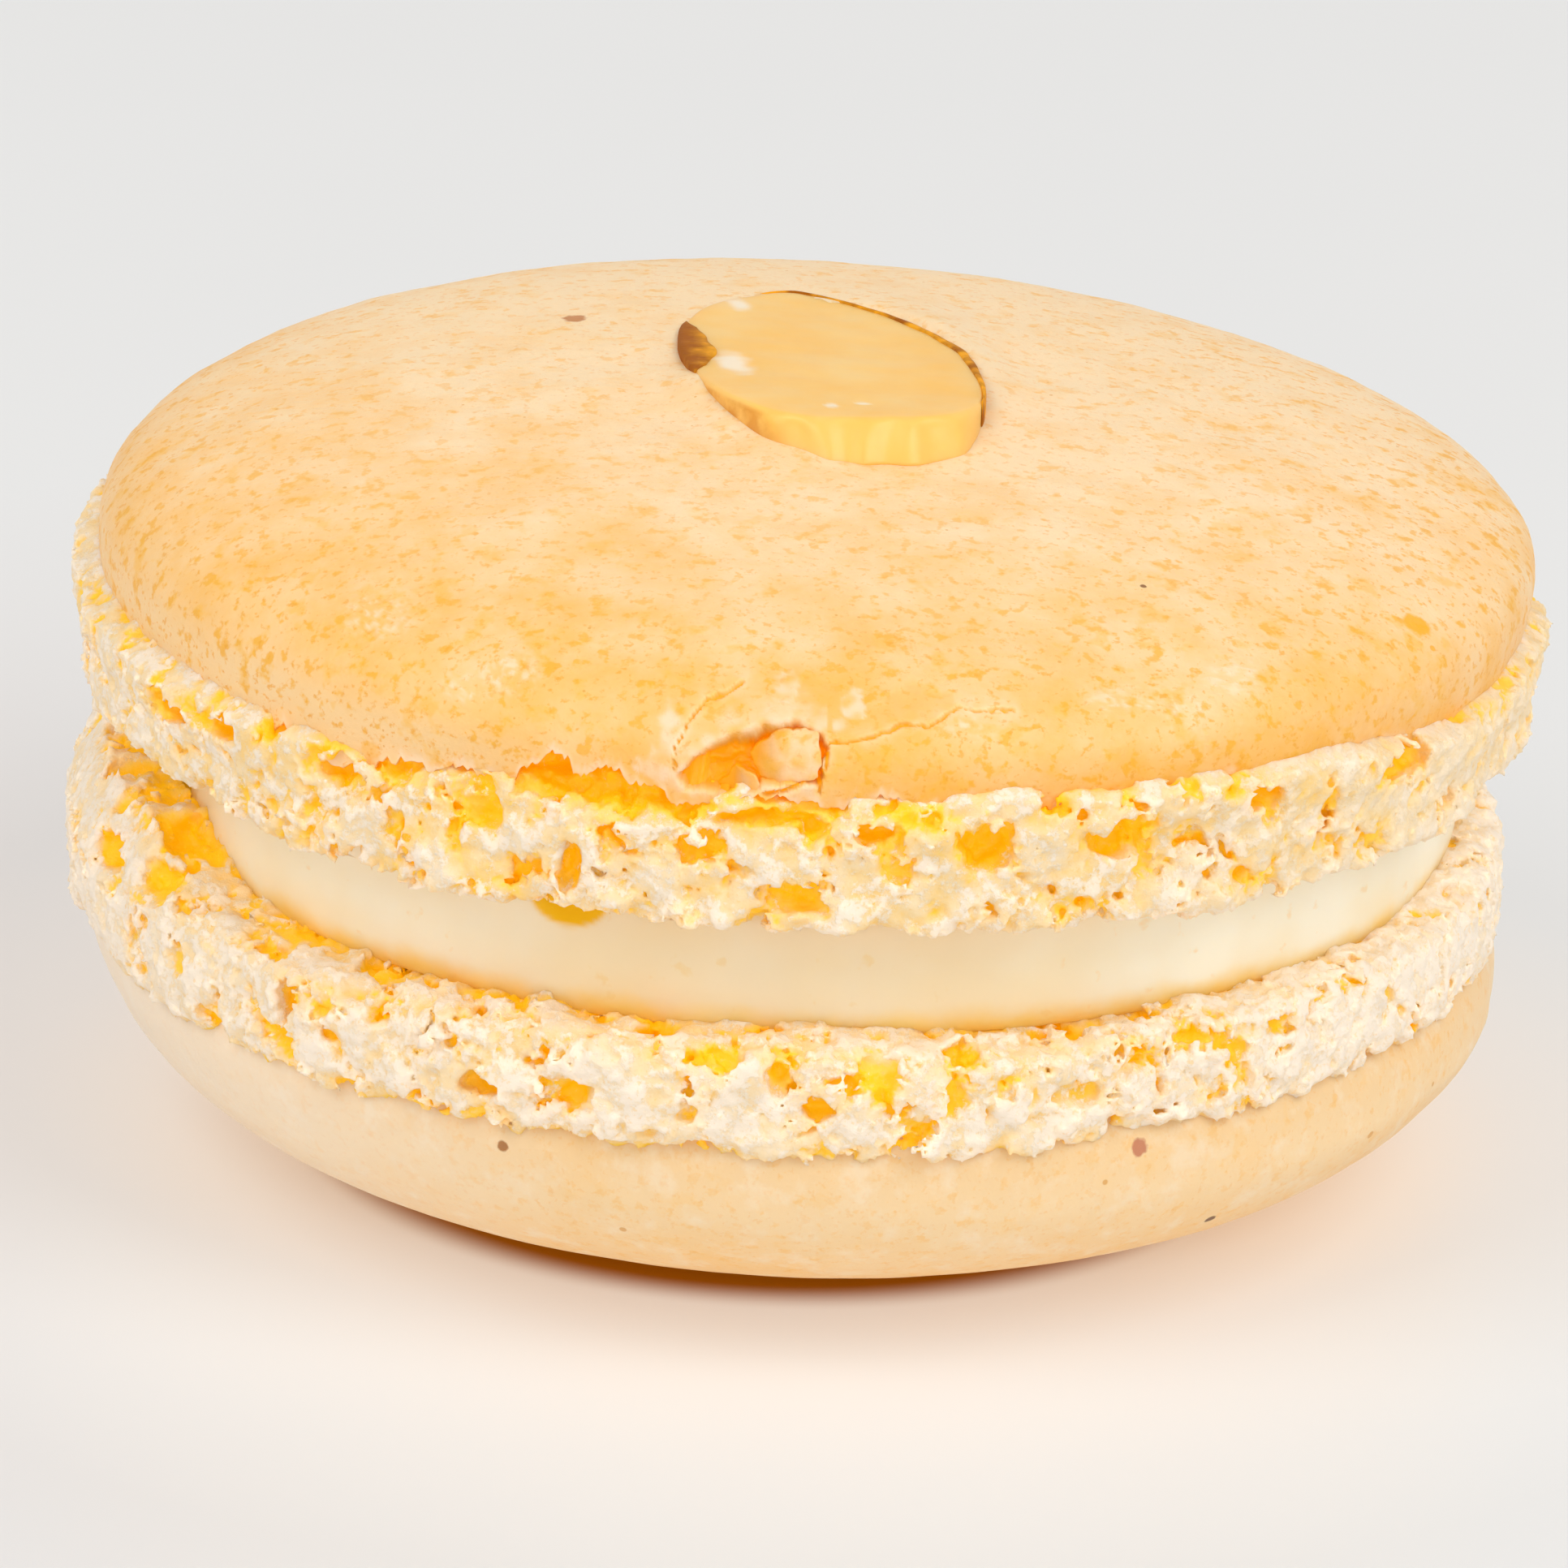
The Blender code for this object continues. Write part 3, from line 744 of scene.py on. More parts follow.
def crust_edge_level(tree, bearing):
    """The height of the upper crust's edge at a bearing."""
    level = UPPER_EDGE_Z
    for height, waves, start in EDGE_WAVES:
        angle = add_node(tree, MATH, (bearing, float(waves), math.radians(start)),
                         operation="MULTIPLY_ADD")
        wave = add_node(tree, MATH, (angle,), operation="SINE")
        level = add_node(tree, MATH, (wave, height * MM, level), operation="MULTIPLY_ADD")
    for middle, half, depth in EDGE_DROPS:
        off = add_node(tree, MATH, (bearing, math.radians(middle)), operation="SUBTRACT")
        away = add_node(tree, MATH, (off,), operation="ABSOLUTE")
        share = add_node(tree, RANGE, (away, 1.35 * math.radians(half), 0.65 * math.radians(half), 0.0,
                                       depth * MM), interpolation_type="SMOOTHSTEP")
        level = add_node(tree, MATH, (level, share), operation="SUBTRACT")
    return level


def crumb_relief(tree, place, body, front):
    """Shallow lumps and grain on a body, with ragged pits baked into it. More of it at the front."""
    drift = add_node(tree, NOISE, (place, 1 / (0.9 * MM), 3.0, 0.65))
    strayed = drift.node.outputs["Color"]
    pushed = add_node(tree, VECTOR, (strayed, (1.1 * MM,) * 3, place), operation="MULTIPLY_ADD")
    lumps = add_node(tree, VORONOI, (pushed, 1 / (1.5 * MM)))
    high = add_node(tree, RANGE, (front, 0.0, 1.0, 0.0, -0.5 * MM))
    crumb = add_node(tree, MATH, (lumps, high, body), operation="MULTIPLY_ADD")
    crumb = add_node(tree, MATH, (high, -0.42, crumb), operation="MULTIPLY_ADD")
    clods = add_node(tree, VORONOI, (pushed, 1 / (0.6 * MM)))
    crumb = add_node(tree, MATH, (clods, -0.22 * MM, crumb), operation="MULTIPLY_ADD")
    grain = add_node(tree, NOISE, (place, 1 / (0.55 * MM), 4.0, 0.85))
    crumb = add_node(tree, MATH, (grain, 0.75 * MM, crumb), operation="MULTIPLY_ADD")
    crumb = add_node(tree, MATH, (crumb, -0.22 * MM), operation="ADD")
    pits = add_node(tree, NOISE, (pushed, 1 / (1.4 * MM), 4.0, 0.75))
    pit = add_node(tree, RANGE, (pits, 0.465, 0.41), interpolation_type="SMOOTHSTEP")
    most = add_node(tree, MATH, (front, 0.3 * MM, 0.3 * MM), operation="MULTIPLY_ADD")
    sunk = add_node(tree, MATH, (pit, most), operation="MULTIPLY")
    crumb = add_node(tree, MATH, (crumb, sunk), operation="SUBTRACT")

    # Single bubbles, baked open.
    cells = add_node(tree, VORONOI, (pushed, 1 / BUBBLE_STEP))
    chance = add_node(tree, "FunctionNodeSeparateColor", (cells.node.outputs["Color"],))
    size = add_node(tree, RANGE, (chance, 1 - BUBBLE_SHARE, 1.0, 0.0, BUBBLE_MOST))
    there = add_node(tree, MATH, (chance, 1 - BUBBLE_SHARE), operation="GREATER_THAN")
    size = add_node(tree, MATH, (there, BUBBLE_LEAST, size), operation="MULTIPLY_ADD")
    bubble = add_node(tree, MATH, (cells, BUBBLE_STEP, size), operation="MULTIPLY_ADD")
    twice = add_node(tree, MATH, (size, 2.0), operation="MULTIPLY")
    bubble = add_node(tree, MATH, (bubble, twice), operation="SUBTRACT")
    bubble = add_node(tree, MATH, (grain, -0.6 * MM, bubble), operation="MULTIPLY_ADD")
    bubble = add_node(tree, MATH, (drift, -0.8 * MM, bubble), operation="MULTIPLY_ADD")
    bubble = add_node(tree, MATH, (bubble, 0.7 * MM), operation="ADD")
    crumb = add_node(tree, MATH, (crumb, bubble), operation="MINIMUM")
    away = add_node(tree, VECTOR, (strayed, (0.5, 0.5, 0.5)), operation="SUBTRACT")
    return crumb, grain, away, pit


def hollowed(tree, crumb, grain, place, middle, shape):
    """Crumb with one named hollow taken out. Its middle and half sizes are in mm."""
    middle = tuple(value * MM for value in middle)
    shape = tuple(value * MM for value in shape)
    off = add_node(tree, VECTOR, (place, middle), operation="SUBTRACT")
    off = add_node(tree, VECTOR, (off, shape), operation="DIVIDE")
    away = add_node(tree, VECTOR, (off,), operation="LENGTH")
    scale = min(shape)
    rough = add_node(tree, MATH, (grain, 1.1 * scale, -1.55 * scale), operation="MULTIPLY_ADD")
    hole = add_node(tree, MATH, (away, scale, rough), operation="MULTIPLY_ADD")
    return add_node(tree, MATH, (crumb, hole, 0.08 * MM), operation="SMOOTH_MIN")


def crumb_recipe(name, sizes, hollows, ledge):
    """The geometry nodes that bake a foot: a straight bar of crumb, bent round into a ring."""
    tree = bpy.data.node_groups.new(name, "GeometryNodeTree")
    tree.interface.new_socket("Geometry", in_out="INPUT", socket_type="NodeSocketGeometry")
    tree.interface.new_socket("Geometry", in_out="OUTPUT", socket_type="NodeSocketGeometry")
    low, high, outer, inner = sizes["low"], sizes["high"], sizes["outer"], sizes["inner"]

    # On the bar, x is the way round, y the distance from the axis and z the height.
    place = add_node(tree, "GeometryNodeInputPosition")
    way, reach, height = add_node(tree, SPLIT, (place,)).node.outputs
    bent = bent_round(tree, place)
    drifted = add_node(tree, VECTOR, (bent, (sizes["drift"],) * 3), operation="ADD")
    body, behind = foot_body(tree, way, reach, height, drifted, sizes)
    aside = add_node(tree, MATH, (way,), operation="ABSOLUTE")
    front = add_node(tree, RANGE, (aside, 24 * MM, 12 * MM), interpolation_type="SMOOTHSTEP")
    crumb, grain, away, pit = crumb_relief(tree, drifted, body, front)
    # Pits count as deeper, and so are painted yellower: painted light in the pits.
    behind = add_node(tree, MATH, (pit, 0.35 * MM, behind), operation="MULTIPLY_ADD")
    strayed = add_node(tree, VECTOR, (away, (1.2 * MM,) * 3, place), operation="MULTIPLY_ADD")
    for across, up, half_width, half_height, deep in hollows:
        crumb = hollowed(tree, crumb, grain, strayed, (across, outer / MM - 0.1, up),
                         (half_width, deep, half_height))
    for hollow in ledge:
        crumb = hollowed(tree, crumb, grain, strayed, hollow[:3], hollow[3:])
    inside = add_node(tree, MATH, (reach, -inner), operation="ADD")
    crumb = add_node(tree, MATH, (crumb, inside), operation="MINIMUM")

    # The bar is one step longer than the way round, so that its ends meet.
    half_way = math.pi * ARC_RADIUS
    around = round(2 * half_way / VOXEL)
    step = 2 * half_way / around
    bottom = (-half_way, inner - 2 * VOXEL, low - 1.0 * MM)
    top = (half_way + step, outer + 1.3 * MM, high + sizes["rise"] + 0.9 * MM)
    density = add_node(tree, MATH, (crumb, 1 / MM), operation="MULTIPLY")
    block = add_node(tree, "GeometryNodeVolumeCube",
                     {"Density": density, "Background": -1.0, "Min": bottom, "Max": top,
                      "Resolution X": around + 2,
                      "Resolution Y": round((top[1] - bottom[1]) / VOXEL),
                      "Resolution Z": round((top[2] - bottom[2]) / VOXEL)})
    baked = add_node(tree, "GeometryNodeVolumeToMesh", {0: block, "Threshold": 0.0})
    before = add_node(tree, MATH, (way, -half_way), operation="LESS_THAN")
    after = add_node(tree, MATH, (way, half_way + step), operation="GREATER_THAN")
    ends = add_node(tree, MATH, (before, after), operation="ADD")
    open_bar = add_node(tree, "GeometryNodeDeleteGeometry", (baked, ends), domain="POINT")
    # The depth paints the crumb yellower and makes it glow: painted light in the hollows.
    depth = add_node(tree, MATH, (behind, 1 / MM), operation="MULTIPLY")
    marked = add_node(tree, "GeometryNodeStoreNamedAttribute",
                      {0: open_bar, "Name": "depth", "Value": depth}, data_type="FLOAT",
                      domain="POINT")
    moved = add_node(tree, VECTOR, (bent, (sizes["axis"], 0, 0)), operation="ADD")
    ring = add_node(tree, "GeometryNodeSetPosition", {0: marked, "Position": moved})
    closed = add_node(tree, "GeometryNodeMergeByDistance", {0: ring, "Distance": 0.1 * VOXEL})
    add_node(tree, "NodeGroupOutput", (without_loose_bits(tree, closed),))
    return tree


def without_loose_bits(tree, mesh):
    """The mesh without the bits that aren't joined to its largest part."""
    island = add_node(tree, "GeometryNodeInputMeshIsland")
    size = add_node(tree, "GeometryNodeAccumulateField", {"Value": 1.0, "Group Index": island},
                    data_type="FLOAT", domain="POINT").node.outputs["Total"]
    loose = add_node(tree, MATH, (size, LOOSE_BIT), operation="LESS_THAN")
    return add_node(tree, "GeometryNodeDeleteGeometry", (mesh, loose), domain="POINT")


def thin_out(obj, most):
    """Brings a piece down to a number of triangles, and keeps more of them at the front."""
    triangles = sum(len(face.vertices) - 2 for face in obj.data.polygons)
    if triangles <= most:
        return
    group = obj.vertex_groups.new(name="front")
    for vertex in obj.data.vertices:
        bearing = abs(math.degrees(math.atan2(vertex.co.x, -vertex.co.y)))
        inside = math.hypot(vertex.co.x, vertex.co.y) < 23.0 * MM
        weight = 0.1 + 0.5 * min(max((bearing - 70) / 60, 0.0), 1.0) + 0.4 * inside
        group.add([vertex.index], min(weight, 1.0), "REPLACE")
    apply_modifier(obj, "DECIMATE", ratio=most / triangles, vertex_group="front",
                   vertex_group_factor=2.0)
    obj.vertex_groups.clear()


def make_foot(name, sizes, hollows, ledge=()):
    """A foot of crumb. The recipe bakes a mesh of its own in place of the circle that carries it."""
    deselect()
    bpy.ops.mesh.primitive_circle_add(vertices=12, radius=sizes["outer"])
    foot = bpy.context.object
    foot.name = name
    foot.data.name = name
    apply_modifier(foot, "NODES", node_group=crumb_recipe(name + "_recipe", sizes, hollows, ledge))
    thin_out(foot, FOOT_TRIANGLES)
    foot.data.shade_smooth()
    return foot


# ------------------------------------------------------------------------------------ lower crust


def make_lower_crust():
    """The lower shell's crust, a bowl that is closed on top below its foot."""
    columns, outer_rows, top_rows = 420, 84, 8
    rows = outer_rows + top_rows
    bearings = crowded(columns, -math.pi, math.pi, 0.0, math.radians(50), 0.9)
    radius, drop = dome_path(LOWER_WIDEST, LOWER_WIDEST_Z + 0.25 * MM, 2.7, 2.35)
    height = np.maximum(LOWER_WIDEST_Z - drop, 0.0)
    wall = np.linspace(0, 1, 60)[1:]
    radius = np.concatenate([radius, LOWER_WIDEST + (LOWER_EDGE_RADIUS - LOWER_WIDEST) * wall ** 1.6])
    height = np.concatenate([height, LOWER_WIDEST_Z + (LOWER_EDGE_Z - LOWER_WIDEST_Z) * wall])
    length, _, _ = with_lengths(radius, height)
    spread = crowded(outer_rows, 0, length[-1], length[-1], 6 * MM, 1.2)
    run = np.interp(spread, length, radius)
    lift = np.interp(spread, length, height)
    lid = np.linspace(1, 0, top_rows + 1)[1:]
    row_radius = np.concatenate([run, run[-1] * lid])
    row_height = np.concatenate([lift, np.full(top_rows, lift[-1] + 0.05 * MM)])

    def place(column, row):
        bearing = bearings[column]
        r = row_radius[row]
        z = row_height[row]
        fall = 1 - np.clip(z / LOWER_EDGE_Z, 0, 1)
        edge = -0.10 * np.sin(bearing) + 0.12 * np.sin(4 * bearing + math.radians(200))
        z = z - edge * MM * np.clip(1 - 2.5 * fall, 0, 1)
        x = r * np.sin(bearing) + LOWER_SHIFT * np.clip(fall * 3, 0, 1)
        y = -r * np.cos(bearing)
        points = np.stack([x, y, z], axis=1)
        bumps = 0.10 * wander(points / (6 * MM) + 60) + 0.05 * wander(points / (2.2 * MM) + 70)
        bumps += 0.02 * wander(points / (0.7 * MM) + 80)
        bumps *= smooth_step(0.1 * MM, 1.2 * MM, z)
        out = np.stack([x, y, np.zeros_like(x)], axis=1) / LOWER_WIDEST
        return points + out * (bumps * MM)[:, None]

    return wrapped_sheet("lower_crust", columns, rows, place)


# ------------------------------------------------------------------------------------------ cream

CREAM_RADIUS = 22.35 * MM
CREAM_AXIS = 0.6 * MM


def make_cream():
    """The layer of cream, with its dent at the left of the front. It stops short at the left."""
    top_rows, side_rows = 6, 40
    rows = 2 * top_rows + side_rows
    bearings = fitted((-math.pi * 24, -10, -4.5, math.pi * 24), (150, 60, 190)) / 24
    columns = len(bearings) - 1
    half = (CREAM_TOP - CREAM_BASE) / 2 + 0.25 * MM
    turn = np.linspace(0, math.pi, side_rows + 1)
    side_radius = CREAM_RADIUS - 0.55 * MM * (1 - np.sin(turn) ** 0.5)
    side_height = half * np.cos(turn)
    cap = np.linspace(0, 1, top_rows + 1)[:-1] * side_radius[0]
    row_radius = np.concatenate([cap, side_radius, cap[::-1]])
    row_height = np.concatenate([np.full(top_rows, half), side_height, np.full(top_rows, -half)])
    marks = {}

    def place(column, row):
        bearing = bearings[column]
        r = row_radius[row]
        z = row_height[row]
        off = (bearing + math.radians(92) + math.pi) % math.tau - math.pi
        share = smooth_step(0.6, 1.0, r / CREAM_RADIUS)
        r = r - 1.7 * MM * np.exp(-(off / math.radians(26)) ** 2) * share
        away = np.hypot((bearing * 22.3 + 7.45) / 1.5, (z / MM - 1.95) / 1.1)
        dimple = 1 - smooth_step(0.3, 1.05, away)
        r = r - 0.4 * MM * dimple * share
        marks["hollow"] = (1 - smooth_step(0.84, 0.98, away)) * share
        points = np.stack([r * np.sin(bearing), -r * np.cos(bearing), z], axis=1)
        stretched = points * np.array([1, 1, 2.5])
        ripple = 0.16 * wander(stretched / (8 * MM) + 5) + 0.03 * wander(stretched / (2 * MM) + 15)
        out = points * np.array([1, 1, 0]) / CREAM_RADIUS
        points = points + out * (ripple * MM * share)[:, None]
        return points + np.array([CREAM_AXIS, 0, (CREAM_TOP + CREAM_BASE) / 2])

    return wrapped_sheet("cream", columns, rows, place, marks)


# ---------------------------------------------------------------------------------- almond flake

# The flake's outline in quarters, from its back right round to its front right:
# (half width in mm, half length in mm, roundness).
FLAKE_QUARTERS = ((4.4, 8.8, 1.45), (5.2, 8.8, 2.0), (5.2, 8.6, 2.8), (4.4, 8.6, 3.2))
FLAKE_THICKNESS = 1.4 * MM
FLAKE_BREAK_SLOPE = 1.0 * MM
FLAKE_ROUND = 0.16 * MM
FLAKE_CENTRE = Vector((1.1 * MM, 2.4 * MM, 25.65 * MM))
FLAKE_TURN = Euler((math.radians(-3.7), math.radians(1.2), math.radians(9.8)), "XYZ")
# White flecks on its face: (across, along, half width, half length), in mm.
FLAKE_FLECKS = ((-2.3, 6.9, 0.42, 1.0), (-3.7, -1.2, 0.6, 1.5), (-0.2, -6.6, 0.3, 0.2),
                (-1.3, -6.9, 0.25, 0.25))


def flake_swell(points):
    """How far the crust swells up round the flake's sides and dips at its front, in mm."""
    turn = -FLAKE_TURN.z
    x = points[:, 0] + UPPER_AXIS - FLAKE_CENTRE.x
    y = points[:, 1] - FLAKE_CENTRE.y
    across = (x * math.cos(turn) - y * math.sin(turn)) / (4.7 * MM)
    along = (x * math.sin(turn) + y * math.cos(turn)) / (8.7 * MM)
    away = np.hypot(across, along)
    sideways = np.clip(np.abs(across) / np.maximum(away, 0.01), 0, 1) ** 2
    left = across < 0
    left_front = (1 - smooth_step(-0.45, 0.05, along)) * left
    swell = (0.42 - 0.40 * left + 0.75 * left_front) * sideways
    swell = swell - 0.10 * (along < 0) * (1 - sideways)
    fall = smooth_step(0.86, 1.0, away) * np.exp(-(np.maximum(away - 1.0, 0) / 0.28) ** 2)
    return (swell * fall - 0.25 * (away < 0.9)) * (points[:, 2] > UPPER_WIDEST_Z)


def flake_outline(turn):
    """A point on the flake's outline, in mm, at a turn from its right side towards its back."""
    half_width, half_length, roundness = FLAKE_QUARTERS[int(turn % math.tau / (math.pi / 2)) % 4]
    across = math.copysign(abs(math.cos(turn)) ** (2 / roundness), math.cos(turn))
    along = math.copysign(abs(math.sin(turn)) ** (2 / roundness), math.sin(turn))
    return across * half_width, along * half_length


def even_outline(columns, first=-math.pi, last=math.pi):
    """Evenly spaced points on the flake's outline, in mm, with the turn of each."""
    turns = np.linspace(first, last, 3000)
    points = np.array([flake_outline(turn) for turn in turns])
    length = np.concatenate([[0], np.cumsum(np.hypot(*np.diff(points, axis=0).T))])
    spots = np.linspace(0, length[-1], columns + 1)
    turn = np.interp(spots, length, turns)
    return np.interp(spots, length, points[:, 0]), np.interp(spots, length, points[:, 1]), turn


def leaned_front(along, height):
    """How far the snapped front end leans out at a height in the flake, in mm."""
    low = np.clip(0.5 - height / FLAKE_THICKNESS, 0, 1)
    return FLAKE_BREAK_SLOPE / MM * low * np.clip(-along / 8.6, 0, 1) ** 3


def flake_noise(across, along, height, step, seed):
    """Smooth noise on the flake, with bumps about as wide as the step, in mm."""
    return wander(np.stack([across, along, height / MM], axis=1) / step + seed)


def set_in_place(points):
    """Carries an array of points from the flake's own frame to its place on the shell."""
    turned = points @ np.array(FLAKE_TURN.to_matrix()).T
    return turned + np.array(FLAKE_CENTRE)


def make_almond():
    """The almond flake: a smooth face, a rounded rim and a snapped, fluted front end."""
    columns, face_rows, wall_rows = 300, 34, 12
    across, along, turns = even_outline(columns)
    face = np.linspace(0, 1, face_rows + 1)[:-1] ** 0.8
    bend = np.linspace(0, math.pi / 2, 5)
    half = FLAKE_THICKNESS / 2
    wall = np.linspace(half - FLAKE_ROUND, -half + FLAKE_ROUND, wall_rows + 1)[1:-1]
    inset = np.concatenate([1 - np.sin(bend), 0 * wall, 1 - np.cos(bend)]) * FLAKE_ROUND / MM
    heights = np.concatenate([half - FLAKE_ROUND * (1 - np.cos(bend)), wall,
                              -half + FLAKE_ROUND * (1 - np.sin(bend))])
    side = len(inset)
    row_share = np.concatenate([face, np.ones(side), [0.7, 0.4, 0.0]])
    row_inset = np.concatenate([np.zeros(face_rows), inset, np.full(3, inset[-1])])
    row_height = np.concatenate([np.full(face_rows, half), heights, np.full(3, -half)])
    marks = {}

    def place(column, row):
        size = np.hypot(across, along)[column]
        scale = row_share[row] * (1 - FLAKE_ROUND / MM / size) + 0 * size
        scale = np.where(row_share[row] == 1, 1 - row_inset[row] / size, scale)
        x, y, z = across[column] * scale, along[column] * scale, row_height[row].copy()
        wall = np.clip((half - z) / (0.3 * MM), 0, 1) * (z > -half)
        front = np.clip((-along[column] - 5) / 2.5, 0, 1)
        flute = 0.09 * np.sin(across[column] / 0.26 + 2.5 * flake_noise(x, y, z, 2.0, 3))
        flute += 0.07 * flake_noise(x, y, 0 * z, 0.8, 9)
        y = y - leaned_front(y, z) + flute * front * wall
        z += (0.10 * flake_noise(x, y, z, 4.0, 50) + 0.03 * flake_noise(x, y, z, 1.2, 60)) * MM
        x += 0.04 * flake_noise(x, y, z, 1.0, 70) * wall
        turn = np.degrees(turns)[column] % 360
        left = smooth_step(180, 195, turn) * (1 - smooth_step(225, 250, turn))
        rim = smooth_step(0.05 * MM, 0.25 * MM, half - row_height[row])
        # The left wall's "skin" mark is partly its skin and partly painted shade on that wall.
        marks["skin"] = left * rim
        white = np.zeros(len(x))
        for fleck_x, fleck_y, wide, long in FLAKE_FLECKS:
            away = np.hypot((x - fleck_x) / wide, (y - fleck_y) / long)
            away += 0.35 * flake_noise(x, y, z, 0.5, 80)
            white = np.maximum(white, 1 - smooth_step(0.35, 1.25, away))
        marks["white"] = white * (z > 0)
        marks["front"] = front * smooth_step(0, 0.2 * MM, half - row_height[row])
        return set_in_place(np.stack([x * MM, y * MM, z], axis=1))

    rows = len(row_share) - 1
    return wrapped_sheet("almond_slice", columns, rows, place, marks)


def make_skin_strip(name, first, last, thick, over, worn):
    """A strip of skin on the flake's side from one turn to another, in degrees. It stands proud
    by a thickness and folds over the face by a distance, in mm, with its ends worn thin."""
    columns = 150
    across, along, _ = even_outline(columns, math.radians(first), math.radians(last))
    half = FLAKE_THICKNESS / 2 / MM
    # Round the strip's section: (outward share, height, inward share).
    section = ((1, -half, 0), (1, -half / 2, 0), (1, 0, 0), (1, half * 0.5, 0), (1, half * 0.8, 0),
               (0.8, half + 0.03, 0), (0.5, half + 0.06, 0.25), (0.2, half + 0.07, 0.5),
               (0, half + 0.06, 0.8), (0, half + 0.04, 1), (-0.5, half - 0.12, 1),
               (-1, half - 0.2, 0.5), (-1, 0, 0), (-1, -half, 0), (1, -half, 0))
    section = np.array(section)

    def place(column, row):
        x, y = across[column], along[column]
        size = np.hypot(x, y)
        share = column / columns
        ends = np.clip(np.minimum(share, 1 - share) * columns / worn, 0, 1) ** 0.5
        uneven = 1 + 0.4 * flake_noise(x, y, 0 * x, 1.2, 5)
        out = section[row, 0] * thick * ends * uneven
        ragged = 0.3 * flake_noise(x, y, 0 * x, 1.6, 8)
        back = section[row, 2] * over * np.sin(share * math.pi) ** 0.6 * ends * (1 + ragged)
        z = section[row, 1]
        z = np.where(z > 0, z * (0.9 + 0.1 * ends), z)
        scale = 1 + (out - back) / size
        x, y = x * scale, y * scale
        y = y - leaned_front(y, z * MM)
        level = 0 * x + half * MM
        z = z + 0.10 * flake_noise(x, y, level, 4.0, 50) + 0.03 * flake_noise(x, y, level, 1.2, 60)
        return set_in_place(np.stack([x, y, z], axis=1) * MM)

    strip = wrapped_sheet(name, columns, len(section) - 1, place)
    close_ends(strip)
    return strip


def make_almond_skin():
    """The brown skin along the flake's back and right side, and on its left tip."""
    edge = make_skin_strip("almond_skin", -36, 104, 0.17, 0.16, 20)
    tip = make_skin_strip("tip_skin", 149, 189, 0.08, 1.05, 16)
    return joined("almond_skin", [edge, tip])


# -------------------------------------------------------------------------------------- materials


def new_material(name):
    """A new material, with its tree, its shader and the place on the piece that patterns follow."""
    material = bpy.data.materials.new(name)
    material.use_nodes = True
    tree = material.node_tree
    shader = tree.nodes["Principled BSDF"]
    place = add_node(tree, "ShaderNodeTexCoord").node.outputs["Object"]
    return material, tree, shader, place


def dots(tree, place, spacing, least, largest, share):
    """Round dots of uneven size, 1 inside and 0 outside. A share of the cells has one."""
    cells = add_node(tree, VORONOI, (place, 1 / spacing))
    chance = add_node(tree, "ShaderNodeSeparateColor", (cells.node.outputs["Color"],))
    size = add_node(tree, RANGE, (chance, 1 - share, 1.0, 0.0, (largest - least) / spacing))
    size = add_node(tree, MATH, (size, least / spacing), operation="ADD")
    there = add_node(tree, MATH, (chance, 1 - share), operation="GREATER_THAN")
    size = add_node(tree, MATH, (size, there), operation="MULTIPLY")
    edge = add_node(tree, MATH, (size, cells), operation="SUBTRACT")
    return add_node(tree, RANGE, (edge, 0.0, 0.35 * least / spacing))


def set_stops(ramp, stops):
    """Gives a colour ramp its stops: (position, colour)."""
    elements = ramp.node.color_ramp.elements
    while len(elements) < len(stops):
        elements.new(0.5)
    for element, (position, colour) in zip(elements, stops):
        element.position = position
        element.color = hexed(colour)


def surface(shader, roughness, ior, glow, glow_depth, glow_colour):
    """Sets how rough a surface is and how light goes into it."""
    shader.subsurface_method = "BURLEY"
    shader.inputs["Roughness"].default_value = roughness
    shader.inputs["IOR"].default_value = ior
    shader.inputs["Subsurface Weight"].default_value = glow
    shader.inputs["Subsurface Radius"].default_value = glow_colour
    shader.inputs["Subsurface Scale"].default_value = glow_depth


def painted_glow(tree, shader, amount, colour, strength):
    """Paints a glow on a surface by an amount, as emission that stands in for light coming through it.
    """
    lit = add_node(tree, MIX, (amount, "#000000", colour), data_type="RGBA")
    tree.links.new(lit, shader.inputs["Emission Color"])
    shader.inputs["Emission Strength"].default_value = strength


def with_mark(tree, base, mark, amount, colour):
    """A colour with another laid over it by an amount, where the piece is marked."""
    there = add_node(tree, MARK, attribute_name=mark).node.outputs["Fac"]
    there = add_node(tree, MATH, (there, amount), operation="MULTIPLY")
    return add_node(tree, MIX, (there, base, colour), data_type="RGBA")


def with_flecks(tree, place, base, flecks, share):
    """A colour with blotches laid over it, each by a share of its own amount."""
    for size, least, most, amount, colour in flecks:
        fleck = add_node(tree, NOISE, (place, 1 / (size * MM), 3.0, 0.55))
        fleck = add_node(tree, RANGE, (fleck, least, most, 0.0, amount))
        fleck = add_node(tree, MATH, (fleck, share), operation="MULTIPLY")
        base = add_node(tree, MIX, (fleck, base, colour), data_type="RGBA")
    return base


def bumped(tree, shader, *layers):
    """Adds layers of fine relief to a shader: (height, strength, distance)."""
    normal = None
    for height, strength, distance in layers:
        inputs = {"Height": height, "Strength": strength, "Distance": distance}
        if normal is not None:
            inputs["Normal"] = normal
        normal = add_node(tree, "ShaderNodeBump", inputs)
    tree.links.new(normal, shader.inputs["Normal"])


# Blotches where the crust took more colour: (size in mm, where noise starts and ends, amount, tint).
CRUST_FLECKS = (
    (2.2, 0.52, 0.70, 0.4, "#fcc060"),
    (0.9, 0.55, 0.64, 0.5, "#fcbc3c"),
    (0.45, 0.57, 0.65, 0.7, "#f8b01c"),
    (0.22, 0.59, 0.70, 0.75, "#f4a828"),
)
